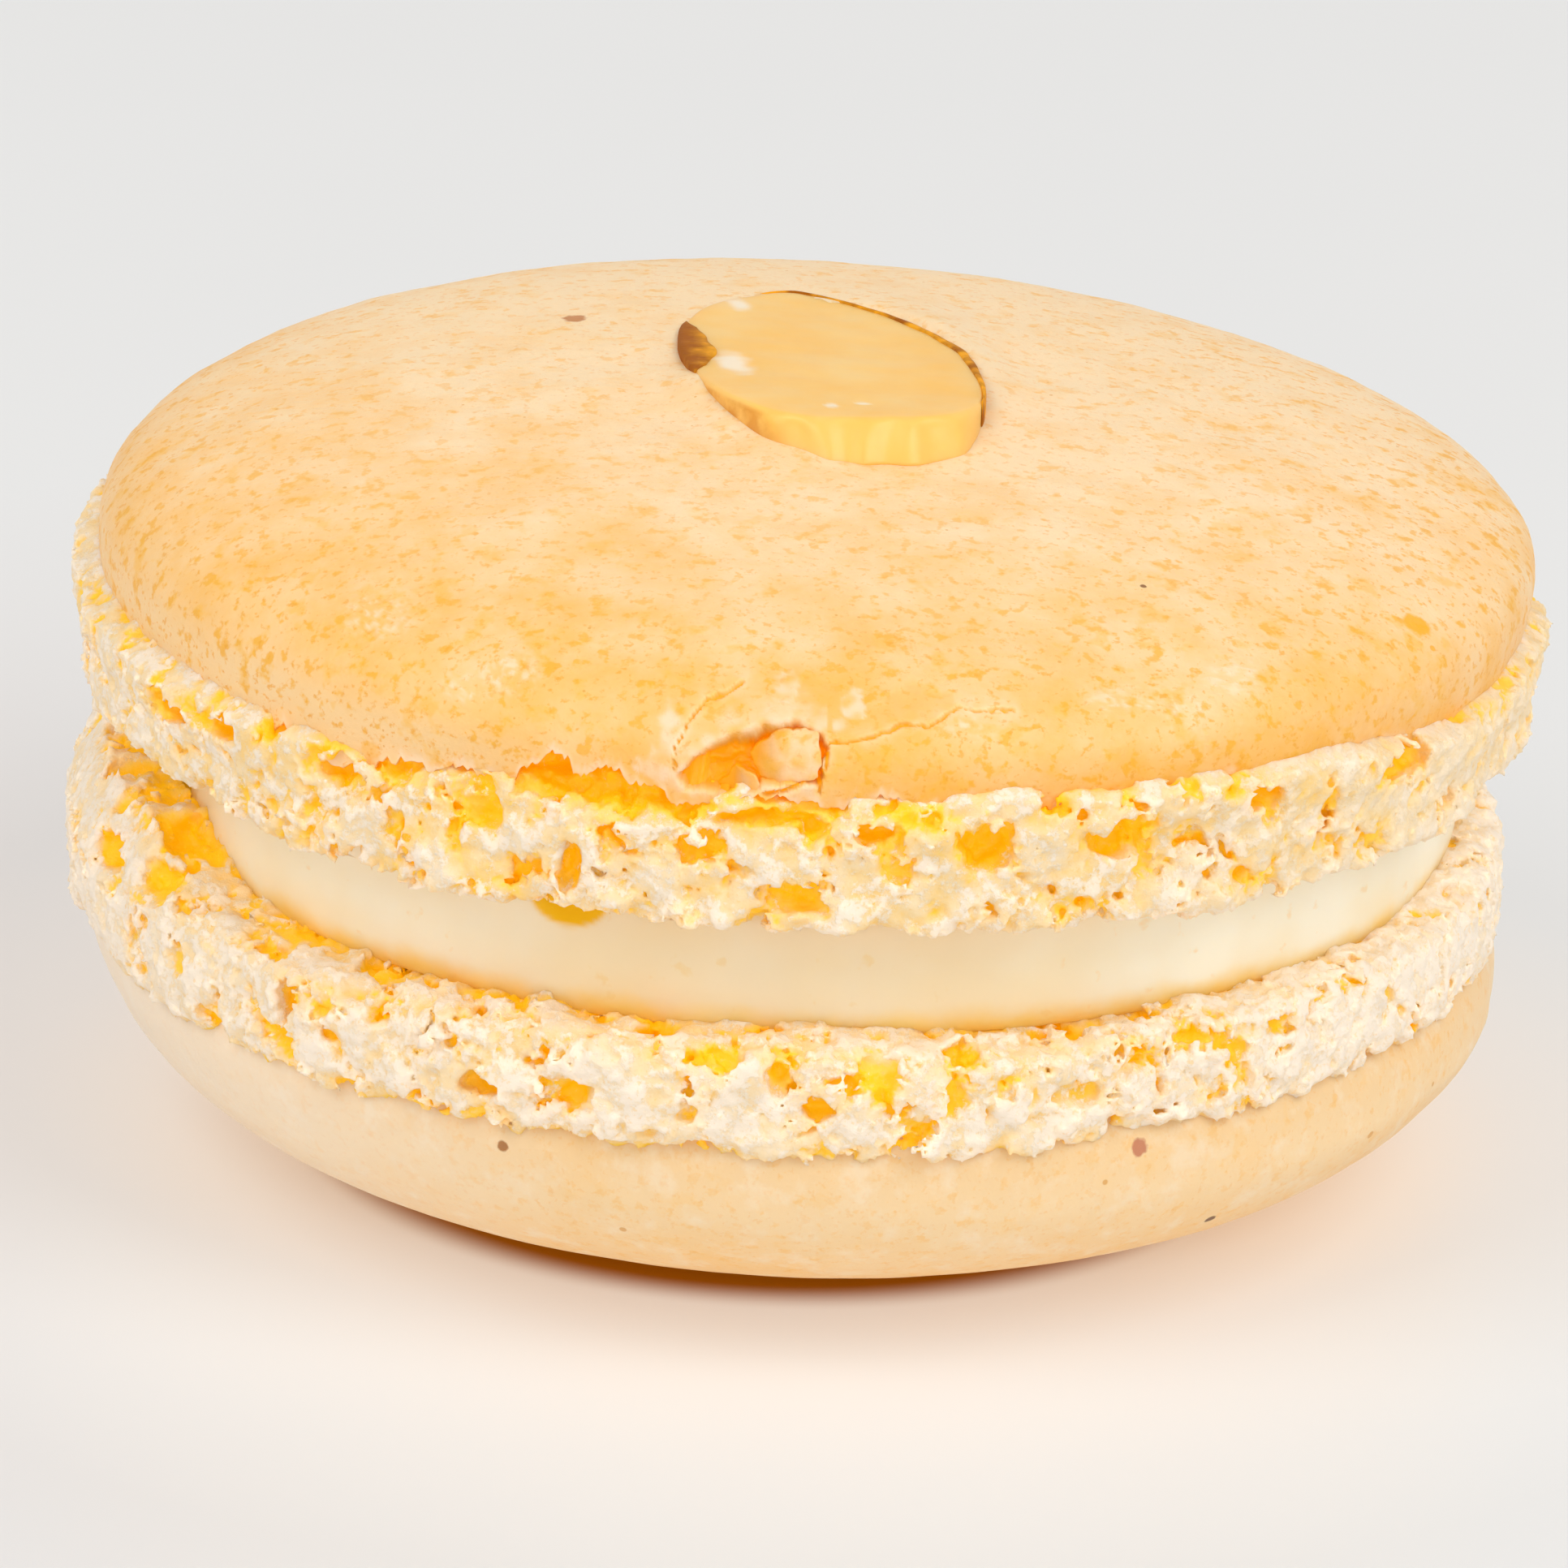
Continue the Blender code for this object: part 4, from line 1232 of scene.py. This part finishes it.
# Single spots on the crusts: (place in mm, radius in mm, tint).
UPPER_SPOTS = (((20.1, -12.2, 22.7), 0.5, "#fcb200"), ((11.1, -14.6, 24.5), 0.12, "#80470c"),
               ((-7.9, 6.5, 26.0), 0.45, "#c47830"), ((20.6, -12.9, 22.2), 0.12, "#f8b030"))
LOWER_SPOTS = (((11.7, -21.2, 7.9), 0.3, "#c87a58"), ((-8.5, -22.5, 7.6), 0.2, "#a8682c"),
               ((14.3, -18.4, 4.2), 0.2, "#643208"), ((12.3, -21.0, 8.3), 0.2, "#d89070"))


def with_spots(tree, place, base, spots):
    """A colour with single uneven spots laid over it."""
    strayed = add_node(tree, NOISE, (place, 1 / (0.35 * MM), 3.0))
    for middle, radius, colour in spots:
        away = add_node(tree, VECTOR, (place, tuple(value * MM for value in middle)),
                        operation="DISTANCE")
        away = add_node(tree, MATH, (strayed, radius * MM, away), operation="MULTIPLY_ADD")
        inside = add_node(tree, RANGE, (away, 1.6 * radius * MM, 1.3 * radius * MM, 0.0, 0.9))
        base = add_node(tree, MIX, (inside, base, colour), data_type="RGBA")
    return base


def upper_crust_finish():
    """Baked almond meringue, dried to a thin smooth skin: matt and faintly grainy, with blotches
    where it took colour and crumbly broken edges."""
    material, tree, shader, place = new_material("upper_meringue_crust")
    x, y, z = add_node(tree, SPLIT, (place,)).node.outputs
    # It is paler towards its top, its right and its back, and along its edge at the left.
    # The paler top and right are partly painted light, where the softboxes fall most, and partly the
    # crust's own tone.
    lift = add_node(tree, RANGE, (z, 20.3 * MM, 25.6 * MM))
    side = add_node(tree, RANGE, (x, -24 * MM, 24 * MM, 0.0, 0.3))
    back = add_node(tree, RANGE, (y, -22 * MM, 14 * MM, 0.0, 0.5))
    back = add_node(tree, MATH, (back, -0.1), operation="ADD")
    mottle = add_node(tree, NOISE, (place, 1 / (3 * MM), 4.0, 0.6))
    mottle = add_node(tree, MATH, (mottle, 1.5, -0.75), operation="MULTIPLY_ADD")
    tone_and_shading = add_node(tree, MATH, (mottle, side), operation="ADD")
    tone_and_shading = add_node(tree, MATH, (lift, 0.6, tone_and_shading), operation="MULTIPLY_ADD")
    tone_and_shading = add_node(tree, MATH, (tone_and_shading, back), operation="ADD")
    tone_and_shading = add_node(tree, RANGE, (tone_and_shading, 0.0, 1.0))
    base = add_node(tree, MIX, (tone_and_shading, "#fcba4e", "#fddeb0"), data_type="RGBA")
    rim = add_node(tree, RANGE, (z, 23.2 * MM, 20.8 * MM, 0.0, 0.8))
    left = add_node(tree, RANGE, (x, -3 * MM, -12 * MM))
    rim = add_node(tree, MATH, (rim, left), operation="MULTIPLY")
    base = add_node(tree, MIX, (rim, base, "#fddaa4"), data_type="RGBA")

    # Blotches, pricks and dark specks.
    wide = add_node(tree, VECTOR, (place, (0.85, 0.85, 1.0)), operation="MULTIPLY")
    low = add_node(tree, RANGE, (lift, 1.0, 0.5, 0.0, 0.5))
    low = add_node(tree, MATH, (low, 0.5), operation="ADD")
    base = with_flecks(tree, wide, base, CRUST_FLECKS, low)
    pricks = dots(tree, place, 0.7 * MM, 0.03 * MM, 0.07 * MM, 0.25)
    pricks = add_node(tree, MATH, (pricks, 0.6), operation="MULTIPLY")
    base = add_node(tree, MIX, (pricks, base, "#e39c2c"), data_type="RGBA")
    specks = dots(tree, place, 3.6 * MM, 0.03 * MM, 0.07 * MM, 0.2)
    base = add_node(tree, MIX, (specks, base, "#6b4413"), data_type="RGBA")

    # Painted highlights on the wrinkled patches, the flaked film, the single spots and the pale sides
    # of the break.
    base = with_mark(tree, base, "dry", 0.5, "#fef0dc")
    base = with_mark(tree, base, "film", 0.5, "#f9bd62")
    base = with_spots(tree, place, base, UPPER_SPOTS)
    base = with_mark(tree, base, "pale", 0.65, "#fde6cc")

    # The broken inside gets a painted glow, emission that stands in for light coming through its
    # walls.
    broken = add_node(tree, MARK, attribute_name="broken").node.outputs["Fac"]
    tone = add_node(tree, NOISE, (place, 1 / (1.2 * MM), 3.0))
    tone = add_node(tree, RANGE, (tone, 0.35, 0.65))
    inner = add_node(tree, MIX, (tone, "#d98f00", "#e6a400"), data_type="RGBA")
    opened = add_node(tree, RANGE, (broken, 0.1, 0.8))
    base = add_node(tree, MIX, (opened, base, inner), data_type="RGBA")
    tree.links.new(base, shader.inputs["Base Color"])
    painted_glow(tree, shader, add_node(tree, RANGE, (broken, 0.5, 1.0)), "#ff9c00", 0.32)
    bumped(tree, shader, (add_node(tree, NOISE, (place, 1 / (0.9 * MM), 3.0)), 0.3, 0.1 * MM),
           (add_node(tree, NOISE, (place, 1 / (0.2 * MM), 3.0)), 0.75, 0.05 * MM))
    surface(shader, roughness=0.48, ior=1.45, glow=0.3, glow_depth=0.6 * MM,
            glow_colour=(1.0, 0.66, 0.28))
    return material


def lower_crust_finish():
    """Baked almond meringue from the underside of the biscuit: paler, smooth and faintly grainy,
    with small brown dots and a browner band where the foot begins. It is painted more orange low
    down, painted shade, and paler at the left, painted light."""
    material, tree, shader, place = new_material("lower_meringue_crust")
    x, _, z = add_node(tree, SPLIT, (place,)).node.outputs
    mottle = add_node(tree, NOISE, (place, 1 / (4 * MM), 4.0, 0.6))
    mottle = add_node(tree, MATH, (mottle, 1.2, -0.6), operation="MULTIPLY_ADD")
    # More orange low down: painted shade on the underside.
    lift = add_node(tree, RANGE, (z, 0.5 * MM, 6 * MM))
    tone_and_shading = add_node(tree, MATH, (mottle, lift), operation="ADD")
    tone_and_shading = add_node(tree, RANGE, (tone_and_shading, 0.0, 1.0))
    base = add_node(tree, MIX, (tone_and_shading, "#fcc470", "#fcdaa8"), data_type="RGBA")
    band = add_node(tree, MATH, (mottle, 1.5 * MM, z), operation="MULTIPLY_ADD")
    band = add_node(tree, RANGE, (band, 6.4 * MM, 8.6 * MM, 0.0, 0.5))
    base = add_node(tree, MIX, (band, base, "#f0c284"), data_type="RGBA")
    base = with_flecks(tree, place, base, CRUST_FLECKS[1:], 0.3)
    cloud = add_node(tree, NOISE, (place, 1 / (1.1 * MM), 4.0, 0.6))
    cloud = add_node(tree, RANGE, (cloud, 0.52, 0.68, 0.0, 0.45))
    base = add_node(tree, MIX, (cloud, base, "#feeacc"), data_type="RGBA")
    spots = dots(tree, place, 2.2 * MM, 0.08 * MM, 0.22 * MM, 0.3)
    spots = add_node(tree, MATH, (spots, 0.7), operation="MULTIPLY")
    base = add_node(tree, MIX, (spots, base, "#dd9a3c"), data_type="RGBA")
    beside = add_node(tree, VECTOR, (place, (5 * MM,) * 3), operation="ADD")
    pale = dots(tree, beside, 3.4 * MM, 0.08 * MM, 0.16 * MM, 0.25)
    base = add_node(tree, MIX, (pale, base, "#fff6e8"), data_type="RGBA")
    # Paler at the left: painted light thrown up from the floor.
    left = add_node(tree, RANGE, (x, -6 * MM, -22 * MM, 0.0, 0.8))
    base = add_node(tree, MIX, (left, base, "#fff0dc"), data_type="RGBA")
    base = with_spots(tree, place, base, LOWER_SPOTS)
    tree.links.new(base, shader.inputs["Base Color"])
    bumped(tree, shader, (add_node(tree, NOISE, (place, 1 / (0.9 * MM), 3.0)), 0.35, 0.1 * MM),
           (add_node(tree, NOISE, (place, 1 / (0.2 * MM), 3.0)), 0.5, 0.05 * MM))
    surface(shader, roughness=0.48, ior=1.45, glow=0.4, glow_depth=0.8 * MM,
            glow_colour=(1.0, 0.66, 0.28))
    return material


def open_crumb_finish():
    """Open baked meringue crumb: dry sugary clumps on a yellower ground, and hollows painted deeper
    yellow with a painted glow, standing in for light that comes through the walls."""
    material, tree, shader, place = new_material("open_meringue_crumb")
    depth = add_node(tree, MARK, attribute_name="depth").node.outputs["Fac"]
    x, _, z = add_node(tree, SPLIT, (place,)).node.outputs
    # The hollows are paler low down, at the right and at the far left.
    # The paler right and far left are painted light, where more light falls on the feet.
    low = add_node(tree, RANGE, (z, 17 * MM, 12 * MM))
    right = add_node(tree, RANGE, (x, 10 * MM, 19 * MM))
    far_left = add_node(tree, RANGE, (x, -19 * MM, -23 * MM, 0.0, 0.12))
    lower = add_node(tree, MATH, (low, 0.27), operation="MULTIPLY")
    pale = add_node(tree, MATH, (low, 0.7, 0.3), operation="MULTIPLY_ADD")
    pale = add_node(tree, MATH, (pale, right), operation="MULTIPLY")
    pale = add_node(tree, MATH, (pale, 0.36, lower), operation="MULTIPLY_ADD")
    pale = add_node(tree, MATH, (pale, far_left), operation="ADD")
    outer = add_node(tree, RANGE, (depth, 0.8, 0.25))
    pale = add_node(tree, MATH, (pale, outer), operation="MULTIPLY")
    stain_and_light = add_node(tree, NOISE, (place, 1 / (1.3 * MM), 5.0, 0.65))
    stain_and_light = add_node(tree, MATH, (stain_and_light, 1.5, -0.75), operation="MULTIPLY_ADD")
    stain_and_light = add_node(tree, MATH, (stain_and_light, 0.1), operation="ADD")
    stain_and_light = add_node(tree, MATH, (stain_and_light, pale), operation="SUBTRACT")
    # Deeper places are painted yellower: painted light in the hollows, over the crumb's own paler
    # tone.
    level = add_node(tree, MATH, (depth, stain_and_light), operation="ADD")
    level = add_node(tree, RANGE, (level, -0.3, 1.15))
    ramp = add_node(tree, "ShaderNodeValToRGB", (level,))
    set_stops(ramp, ((0.0, "#ffeacb"), (0.28, "#fee0ac"), (0.46, "#fdd58a"), (0.62, "#fdd04e"),
                     (0.86, "#fcc200")))

    # Clumps of sugar, fewer of them low down and at the right, and yellow grit.
    fine = add_node(tree, NOISE, (place, 1 / (0.25 * MM), 3.0, 0.6))
    clump = add_node(tree, NOISE, (place, 1 / (0.95 * MM), 6.0, 0.72))
    clump = add_node(tree, MATH, (fine, 0.35, clump), operation="MULTIPLY_ADD")
    clump = add_node(tree, MATH, (level, -0.25, clump), operation="MULTIPLY_ADD")
    clump = add_node(tree, RANGE, (clump, 0.585, 0.665))
    sugar = add_node(tree, MATH, (1.0, low), operation="SUBTRACT")
    sugar = add_node(tree, MATH, (sugar, right), operation="MULTIPLY")
    sugar = add_node(tree, MATH, (sugar, -0.5, 0.78), operation="MULTIPLY_ADD")
    sugar = add_node(tree, MATH, (clump, sugar), operation="MULTIPLY")
    base = add_node(tree, MIX, (sugar, ramp, "#fff1e0"), data_type="RGBA")
    grit = add_node(tree, NOISE, (place, 1 / (0.22 * MM), 2.0, 0.6))
    grit = add_node(tree, RANGE, (grit, 0.6, 0.7, 0.0, 0.4))
    base = add_node(tree, MIX, (grit, base, "#fbcb70"), data_type="RGBA")
    tree.links.new(base, shader.inputs["Base Color"])
    # A painted glow in the deepest places.
    painted_glow(tree, shader, add_node(tree, RANGE, (level, 0.4, 0.9)), "#ffcc00", 0.16)
    bumped(tree, shader, (clump, 0.5, 0.06 * MM),
           (add_node(tree, NOISE, (place, 1 / (0.35 * MM), 4.0, 0.65)), 0.55, 0.12 * MM),
           (add_node(tree, NOISE, (place, 1 / (0.12 * MM), 2.0, 0.6)), 0.5, 0.05 * MM))
    surface(shader, roughness=0.5, ior=1.45, glow=0.5, glow_depth=0.5 * MM,
            glow_colour=(1.0, 0.75, 0.35))
    return material


def cream_finish():
    """Whipped butter cream, spread and chilled: smooth, satin and slightly see-through. It is painted
    yellower along its lower edge, painted light from the crumb, darker at the front and yellow in
    its dent, painted shade, and given a faint painted glow."""
    material, tree, shader, place = new_material("whipped_butter_cream")
    x, _, z = add_node(tree, SPLIT, (place,)).node.outputs
    tone = add_node(tree, NOISE, (place, 1 / (6 * MM), 3.0))
    tone = add_node(tree, RANGE, (tone, 0.35, 0.65))
    base = add_node(tree, MIX, (tone, "#fce9c2", "#fff5dc"), data_type="RGBA")
    # Darker at the front: painted shade under the upper shell's overhang.
    across = add_node(tree, MATH, (x,), operation="ABSOLUTE")
    front = add_node(tree, RANGE, (across, 11 * MM, 3 * MM, 0.0, 0.4))
    base = add_node(tree, MIX, (front, base, "#f0cf98"), data_type="RGBA")
    # Yellower along the lower edge: painted light from the crumb below.
    edge = add_node(tree, NOISE, (place, 1 / (1.5 * MM), 4.0))
    edge = add_node(tree, MATH, (edge, 0.9 * MM, z), operation="MULTIPLY_ADD")
    painted_crumb_light = add_node(tree, RANGE, (edge, CREAM_BASE + 1.35 * MM, CREAM_BASE + 0.35 * MM, 0.0, 0.85),
                       interpolation_type="SMOOTHSTEP")
    base = add_node(tree, MIX, (painted_crumb_light, base, "#fdd05c"), data_type="RGBA")
    spots = add_node(tree, NOISE, (place, 1 / (0.7 * MM), 3.0))
    spots = add_node(tree, RANGE, (spots, 0.66, 0.74, 0.0, 0.4))
    base = add_node(tree, MIX, (spots, base, "#f3cd7c"), data_type="RGBA")
    # Yellow in the dent: painted shade, tinted by the crumb above it.
    hollow = add_node(tree, MARK, attribute_name="hollow").node.outputs["Fac"]
    base = add_node(tree, MIX, (hollow, base, "#fbc600"), data_type="RGBA")
    tree.links.new(base, shader.inputs["Base Color"])
    # A faint painted glow all over.
    tree.links.new(base, shader.inputs["Emission Color"])
    shader.inputs["Emission Strength"].default_value = 0.05
    bumped(tree, shader, (add_node(tree, NOISE, (place, 1 / (0.5 * MM), 3.0)), 0.15, 0.05 * MM))
    surface(shader, roughness=0.40, ior=1.46, glow=0.7, glow_depth=1.6 * MM,
            glow_colour=(1.0, 0.75, 0.42))
    return material


def almond_finish():
    """Toasted almond, sliced: dense, waxy and warm, with faint knife marks and worn skin at a side,
    partly painted shade, and a front wall tinted with painted shade.
    """
    material, tree, shader, place = new_material("toasted_sliced_almond")
    tone = add_node(tree, NOISE, (place, 1 / (3 * MM), 4.0))
    tone = add_node(tree, RANGE, (tone, 0.3, 0.7))
    base = add_node(tree, MIX, (tone, "#ffc250", "#ffd076"), data_type="RGBA")
    # The snapped front wall is tinted deeper yellow: painted shade on that upright face.
    base = with_mark(tree, base, "front", 0.2, "#fcc44c")
    # Orange-brown on the left wall: partly worn skin, partly painted shade.
    worn = add_node(tree, NOISE, (place, 1 / (0.8 * MM), 3.0))
    worn = add_node(tree, RANGE, (worn, 0.3, 0.6, 0.0, 0.85))
    base = with_mark(tree, base, "skin", worn, "#e2962a")
    base = with_mark(tree, base, "white", 0.85, "#fff0d8")
    tree.links.new(base, shader.inputs["Base Color"])
    bumped(tree, shader, (add_node(tree, NOISE, (place, 1 / (0.5 * MM), 3.0)), 0.2, 0.06 * MM))
    surface(shader, roughness=0.36, ior=1.47, glow=0.5, glow_depth=1.2 * MM,
            glow_colour=(1.0, 0.7, 0.3))
    return material


def almond_skin_finish():
    """Roasted almond skin: thin, brown and dry, with hardly any shine, and lighter where it is worn
    through."""
    material, tree, shader, place = new_material("roasted_almond_skin")
    tone = add_node(tree, NOISE, (place, 1 / (0.9 * MM), 3.0))
    tone = add_node(tree, RANGE, (tone, 0.35, 0.65))
    x = add_node(tree, SPLIT, (place,))
    worn = add_node(tree, RANGE, (x, -4.4 * MM, -3.0 * MM), interpolation_type="SMOOTHSTEP")
    tone = add_node(tree, MATH, (tone, worn), operation="MULTIPLY")
    base = add_node(tree, MIX, (tone, "#a45a00", "#f5a81c"), data_type="RGBA")
    tree.links.new(base, shader.inputs["Base Color"])
    bumped(tree, shader, (add_node(tree, NOISE, (place, 1 / (0.25 * MM), 3.0)), 0.4, 0.05 * MM))
    surface(shader, roughness=0.6, ior=1.2, glow=0.2, glow_depth=0.3 * MM,
            glow_colour=(1.0, 0.6, 0.2))
    return material


def floor_finish():
    """A sheet of white opal acrylic over a light box: even, pale and faintly lit from below. Close
    to the macaron it has painted light and shade: a warm painted glow from its crust, painted
    shade to its left, painted light before it and a brown painted contact shadow where it touches."""
    material, tree, shader, place = new_material("lit_opal_acrylic_sheet")
    x, y, _ = add_node(tree, SPLIT, (place,)).node.outputs
    tone = add_node(tree, NOISE, (place, 1 / (30 * MM), 3.0))
    base = add_node(tree, MIX, (tone, "#b3b3b3", "#b6b6b6"), data_type="RGBA")
    away = add_node(tree, VECTOR, (place,), operation="LENGTH")
    # A warm painted glow close to the macaron, fading with distance.
    long = add_node(tree, VECTOR, (place, (1.0, 1.3, 1.0)), operation="MULTIPLY")
    long = add_node(tree, VECTOR, (long,), operation="LENGTH")
    long = add_node(tree, RANGE, (long, 10 * MM, 50 * MM))
    lit = add_node(tree, "ShaderNodeValToRGB", (long,))
    set_stops(lit, ((0.17, "#e8c59f"), (0.28, "#ebd9c6"), (0.40, "#ddd4cc"), (0.7, "#cfcecd")))
    # Painted shade to the left of the macaron, painted light before it, and a brown painted contact
    # shadow where it touches.
    left = add_node(tree, RANGE, (x, -5 * MM, -30 * MM))
    near = add_node(tree, RANGE, (away, 70 * MM, 40 * MM))
    left = add_node(tree, MATH, (left, near), operation="MULTIPLY")
    left = add_node(tree, MATH, (left, 0.5), operation="MULTIPLY")
    lit = add_node(tree, MIX, (left, lit, "#bdaea9"), data_type="RGBA")
    front = add_node(tree, RANGE, (y, -9 * MM, -27 * MM), interpolation_type="SMOOTHSTEP")
    near = add_node(tree, RANGE, (away, 38 * MM, 18 * MM))
    front = add_node(tree, MATH, (front, near), operation="MULTIPLY")
    front = add_node(tree, MATH, (front, 0.75), operation="MULTIPLY")
    lit = add_node(tree, MIX, (front, lit, "#fcf8f4"), data_type="RGBA")
    contact_shadow = add_node(tree, RANGE, (away, 17.6 * MM, 15.6 * MM), interpolation_type="SMOOTHSTEP")
    lit = add_node(tree, MIX, (contact_shadow, lit, "#5a3200"), data_type="RGBA")
    base = add_node(tree, MIX, (contact_shadow, base, "#b07000"), data_type="RGBA")
    tree.links.new(base, shader.inputs["Base Color"])
    tree.links.new(lit, shader.inputs["Emission Color"])
    shader.inputs["Roughness"].default_value = 0.4
    shader.inputs["Emission Strength"].default_value = 0.55
    return material


# ------------------------------------------------------------------------- floor, lights, camera

CAMERA_DISTANCE = 260 * MM
CAMERA_RISE = math.radians(20.95)
CAMERA_ROLL = math.radians(2.37)
CAMERA_AIM = Vector((-0.06 * MM, 0, 11.65 * MM))
CAMERA_LENS = 174.4


def make_camera():
    """The camera, before the macaron and a little above it, slightly rolled."""
    data = bpy.data.cameras.new("camera")
    data.lens = CAMERA_LENS
    data.sensor_width = 36
    data.clip_start = 0.01
    camera = bpy.data.objects.new("camera", data)
    bpy.context.scene.collection.objects.link(camera)
    back = Vector((0, -math.cos(CAMERA_RISE), math.sin(CAMERA_RISE)))
    side = Vector((1, 0, 0))
    turned = Matrix((side, back.cross(side), back)).transposed().to_4x4()
    place = Matrix.Translation(CAMERA_AIM + back * CAMERA_DISTANCE)
    camera.matrix_world = place @ turned @ Matrix.Rotation(CAMERA_ROLL, 4, "Z")
    bpy.context.scene.camera = camera


# The lights: (name, place, width and height, power, colour). They all aim at the macaron.
SOFTBOXES = (
    ("left_softbox", (-0.263, -0.184, 0.383), (0.26, 0.26), 0.60, "#fffcf8"),
    ("right_softbox", (0.263, -0.184, 0.383), (0.26, 0.26), 0.76, "#ffffff"),
    ("front_softbox", (0, -1.164, 0.290), (1.0, 0.4), 1.4, "#fffdf8"),
)
LIGHT_AIM = Vector((0, 0, 0.01))


def add_softbox(name, place, size, power, colour):
    """One soft light."""
    data = bpy.data.lights.new(name, "AREA")
    data.shape = "RECTANGLE"
    data.size, data.size_y = size
    data.energy = power
    data.color = hexed(colour)[:3]
    light = bpy.data.objects.new(name, data)
    bpy.context.scene.collection.objects.link(light)
    light.location = place
    light.rotation_euler = (LIGHT_AIM - Vector(place)).to_track_quat("-Z", "Y").to_euler()


def light_tent():
    """White light from all round, brighter near the floor than overhead."""
    world = bpy.data.worlds.new("light_tent")
    world.use_nodes = True
    tree = world.node_tree
    way = add_node(tree, "ShaderNodeTexCoord").node.outputs["Generated"]
    height = add_node(tree, SPLIT, (way,)).node.outputs[2]
    strength = add_node(tree, RANGE, (height, 0.0, 0.8, 0.78, 0.6))
    backdrop = tree.nodes["Background"]
    backdrop.inputs["Color"].default_value = hexed("#fafaf8")
    tree.links.new(strength, backdrop.inputs["Strength"])
    return world


def make_studio():
    """The floor, the light from all round and the softboxes."""
    deselect()
    bpy.ops.mesh.primitive_plane_add(size=3.0)
    floor = bpy.context.object
    floor.name = "floor"
    floor.data.materials.append(floor_finish())
    bpy.context.scene.world = light_tent()
    for softbox in SOFTBOXES:
        add_softbox(*softbox)
    bpy.context.scene.view_settings.view_transform = "Standard"


def main():
    """Makes the studio and every piece, each with its finish."""
    make_camera()
    make_studio()
    crumb = open_crumb_finish()
    baked = upper_crust_finish()
    finish_piece(make_upper_crust(), baked, "upper_shell")
    foot = make_foot("upper_foot", UPPER_FOOT, UPPER_HOLLOWS)
    finish_piece(foot, crumb, "upper_shell")
    finish_piece(make_chips(), baked, "upper_shell")
    foot = make_foot("lower_foot", LOWER_FOOT, LOWER_HOLLOWS, LEDGE_HOLLOWS)
    finish_piece(foot, crumb, "lower_shell")
    finish_piece(make_lower_crust(), lower_crust_finish(), "lower_shell")
    finish_piece(make_cream(), cream_finish(), "cream_filling")
    finish_piece(make_almond(), almond_finish(), "almond_flake")
    finish_piece(make_almond_skin(), almond_skin_finish(), "almond_flake")


main()
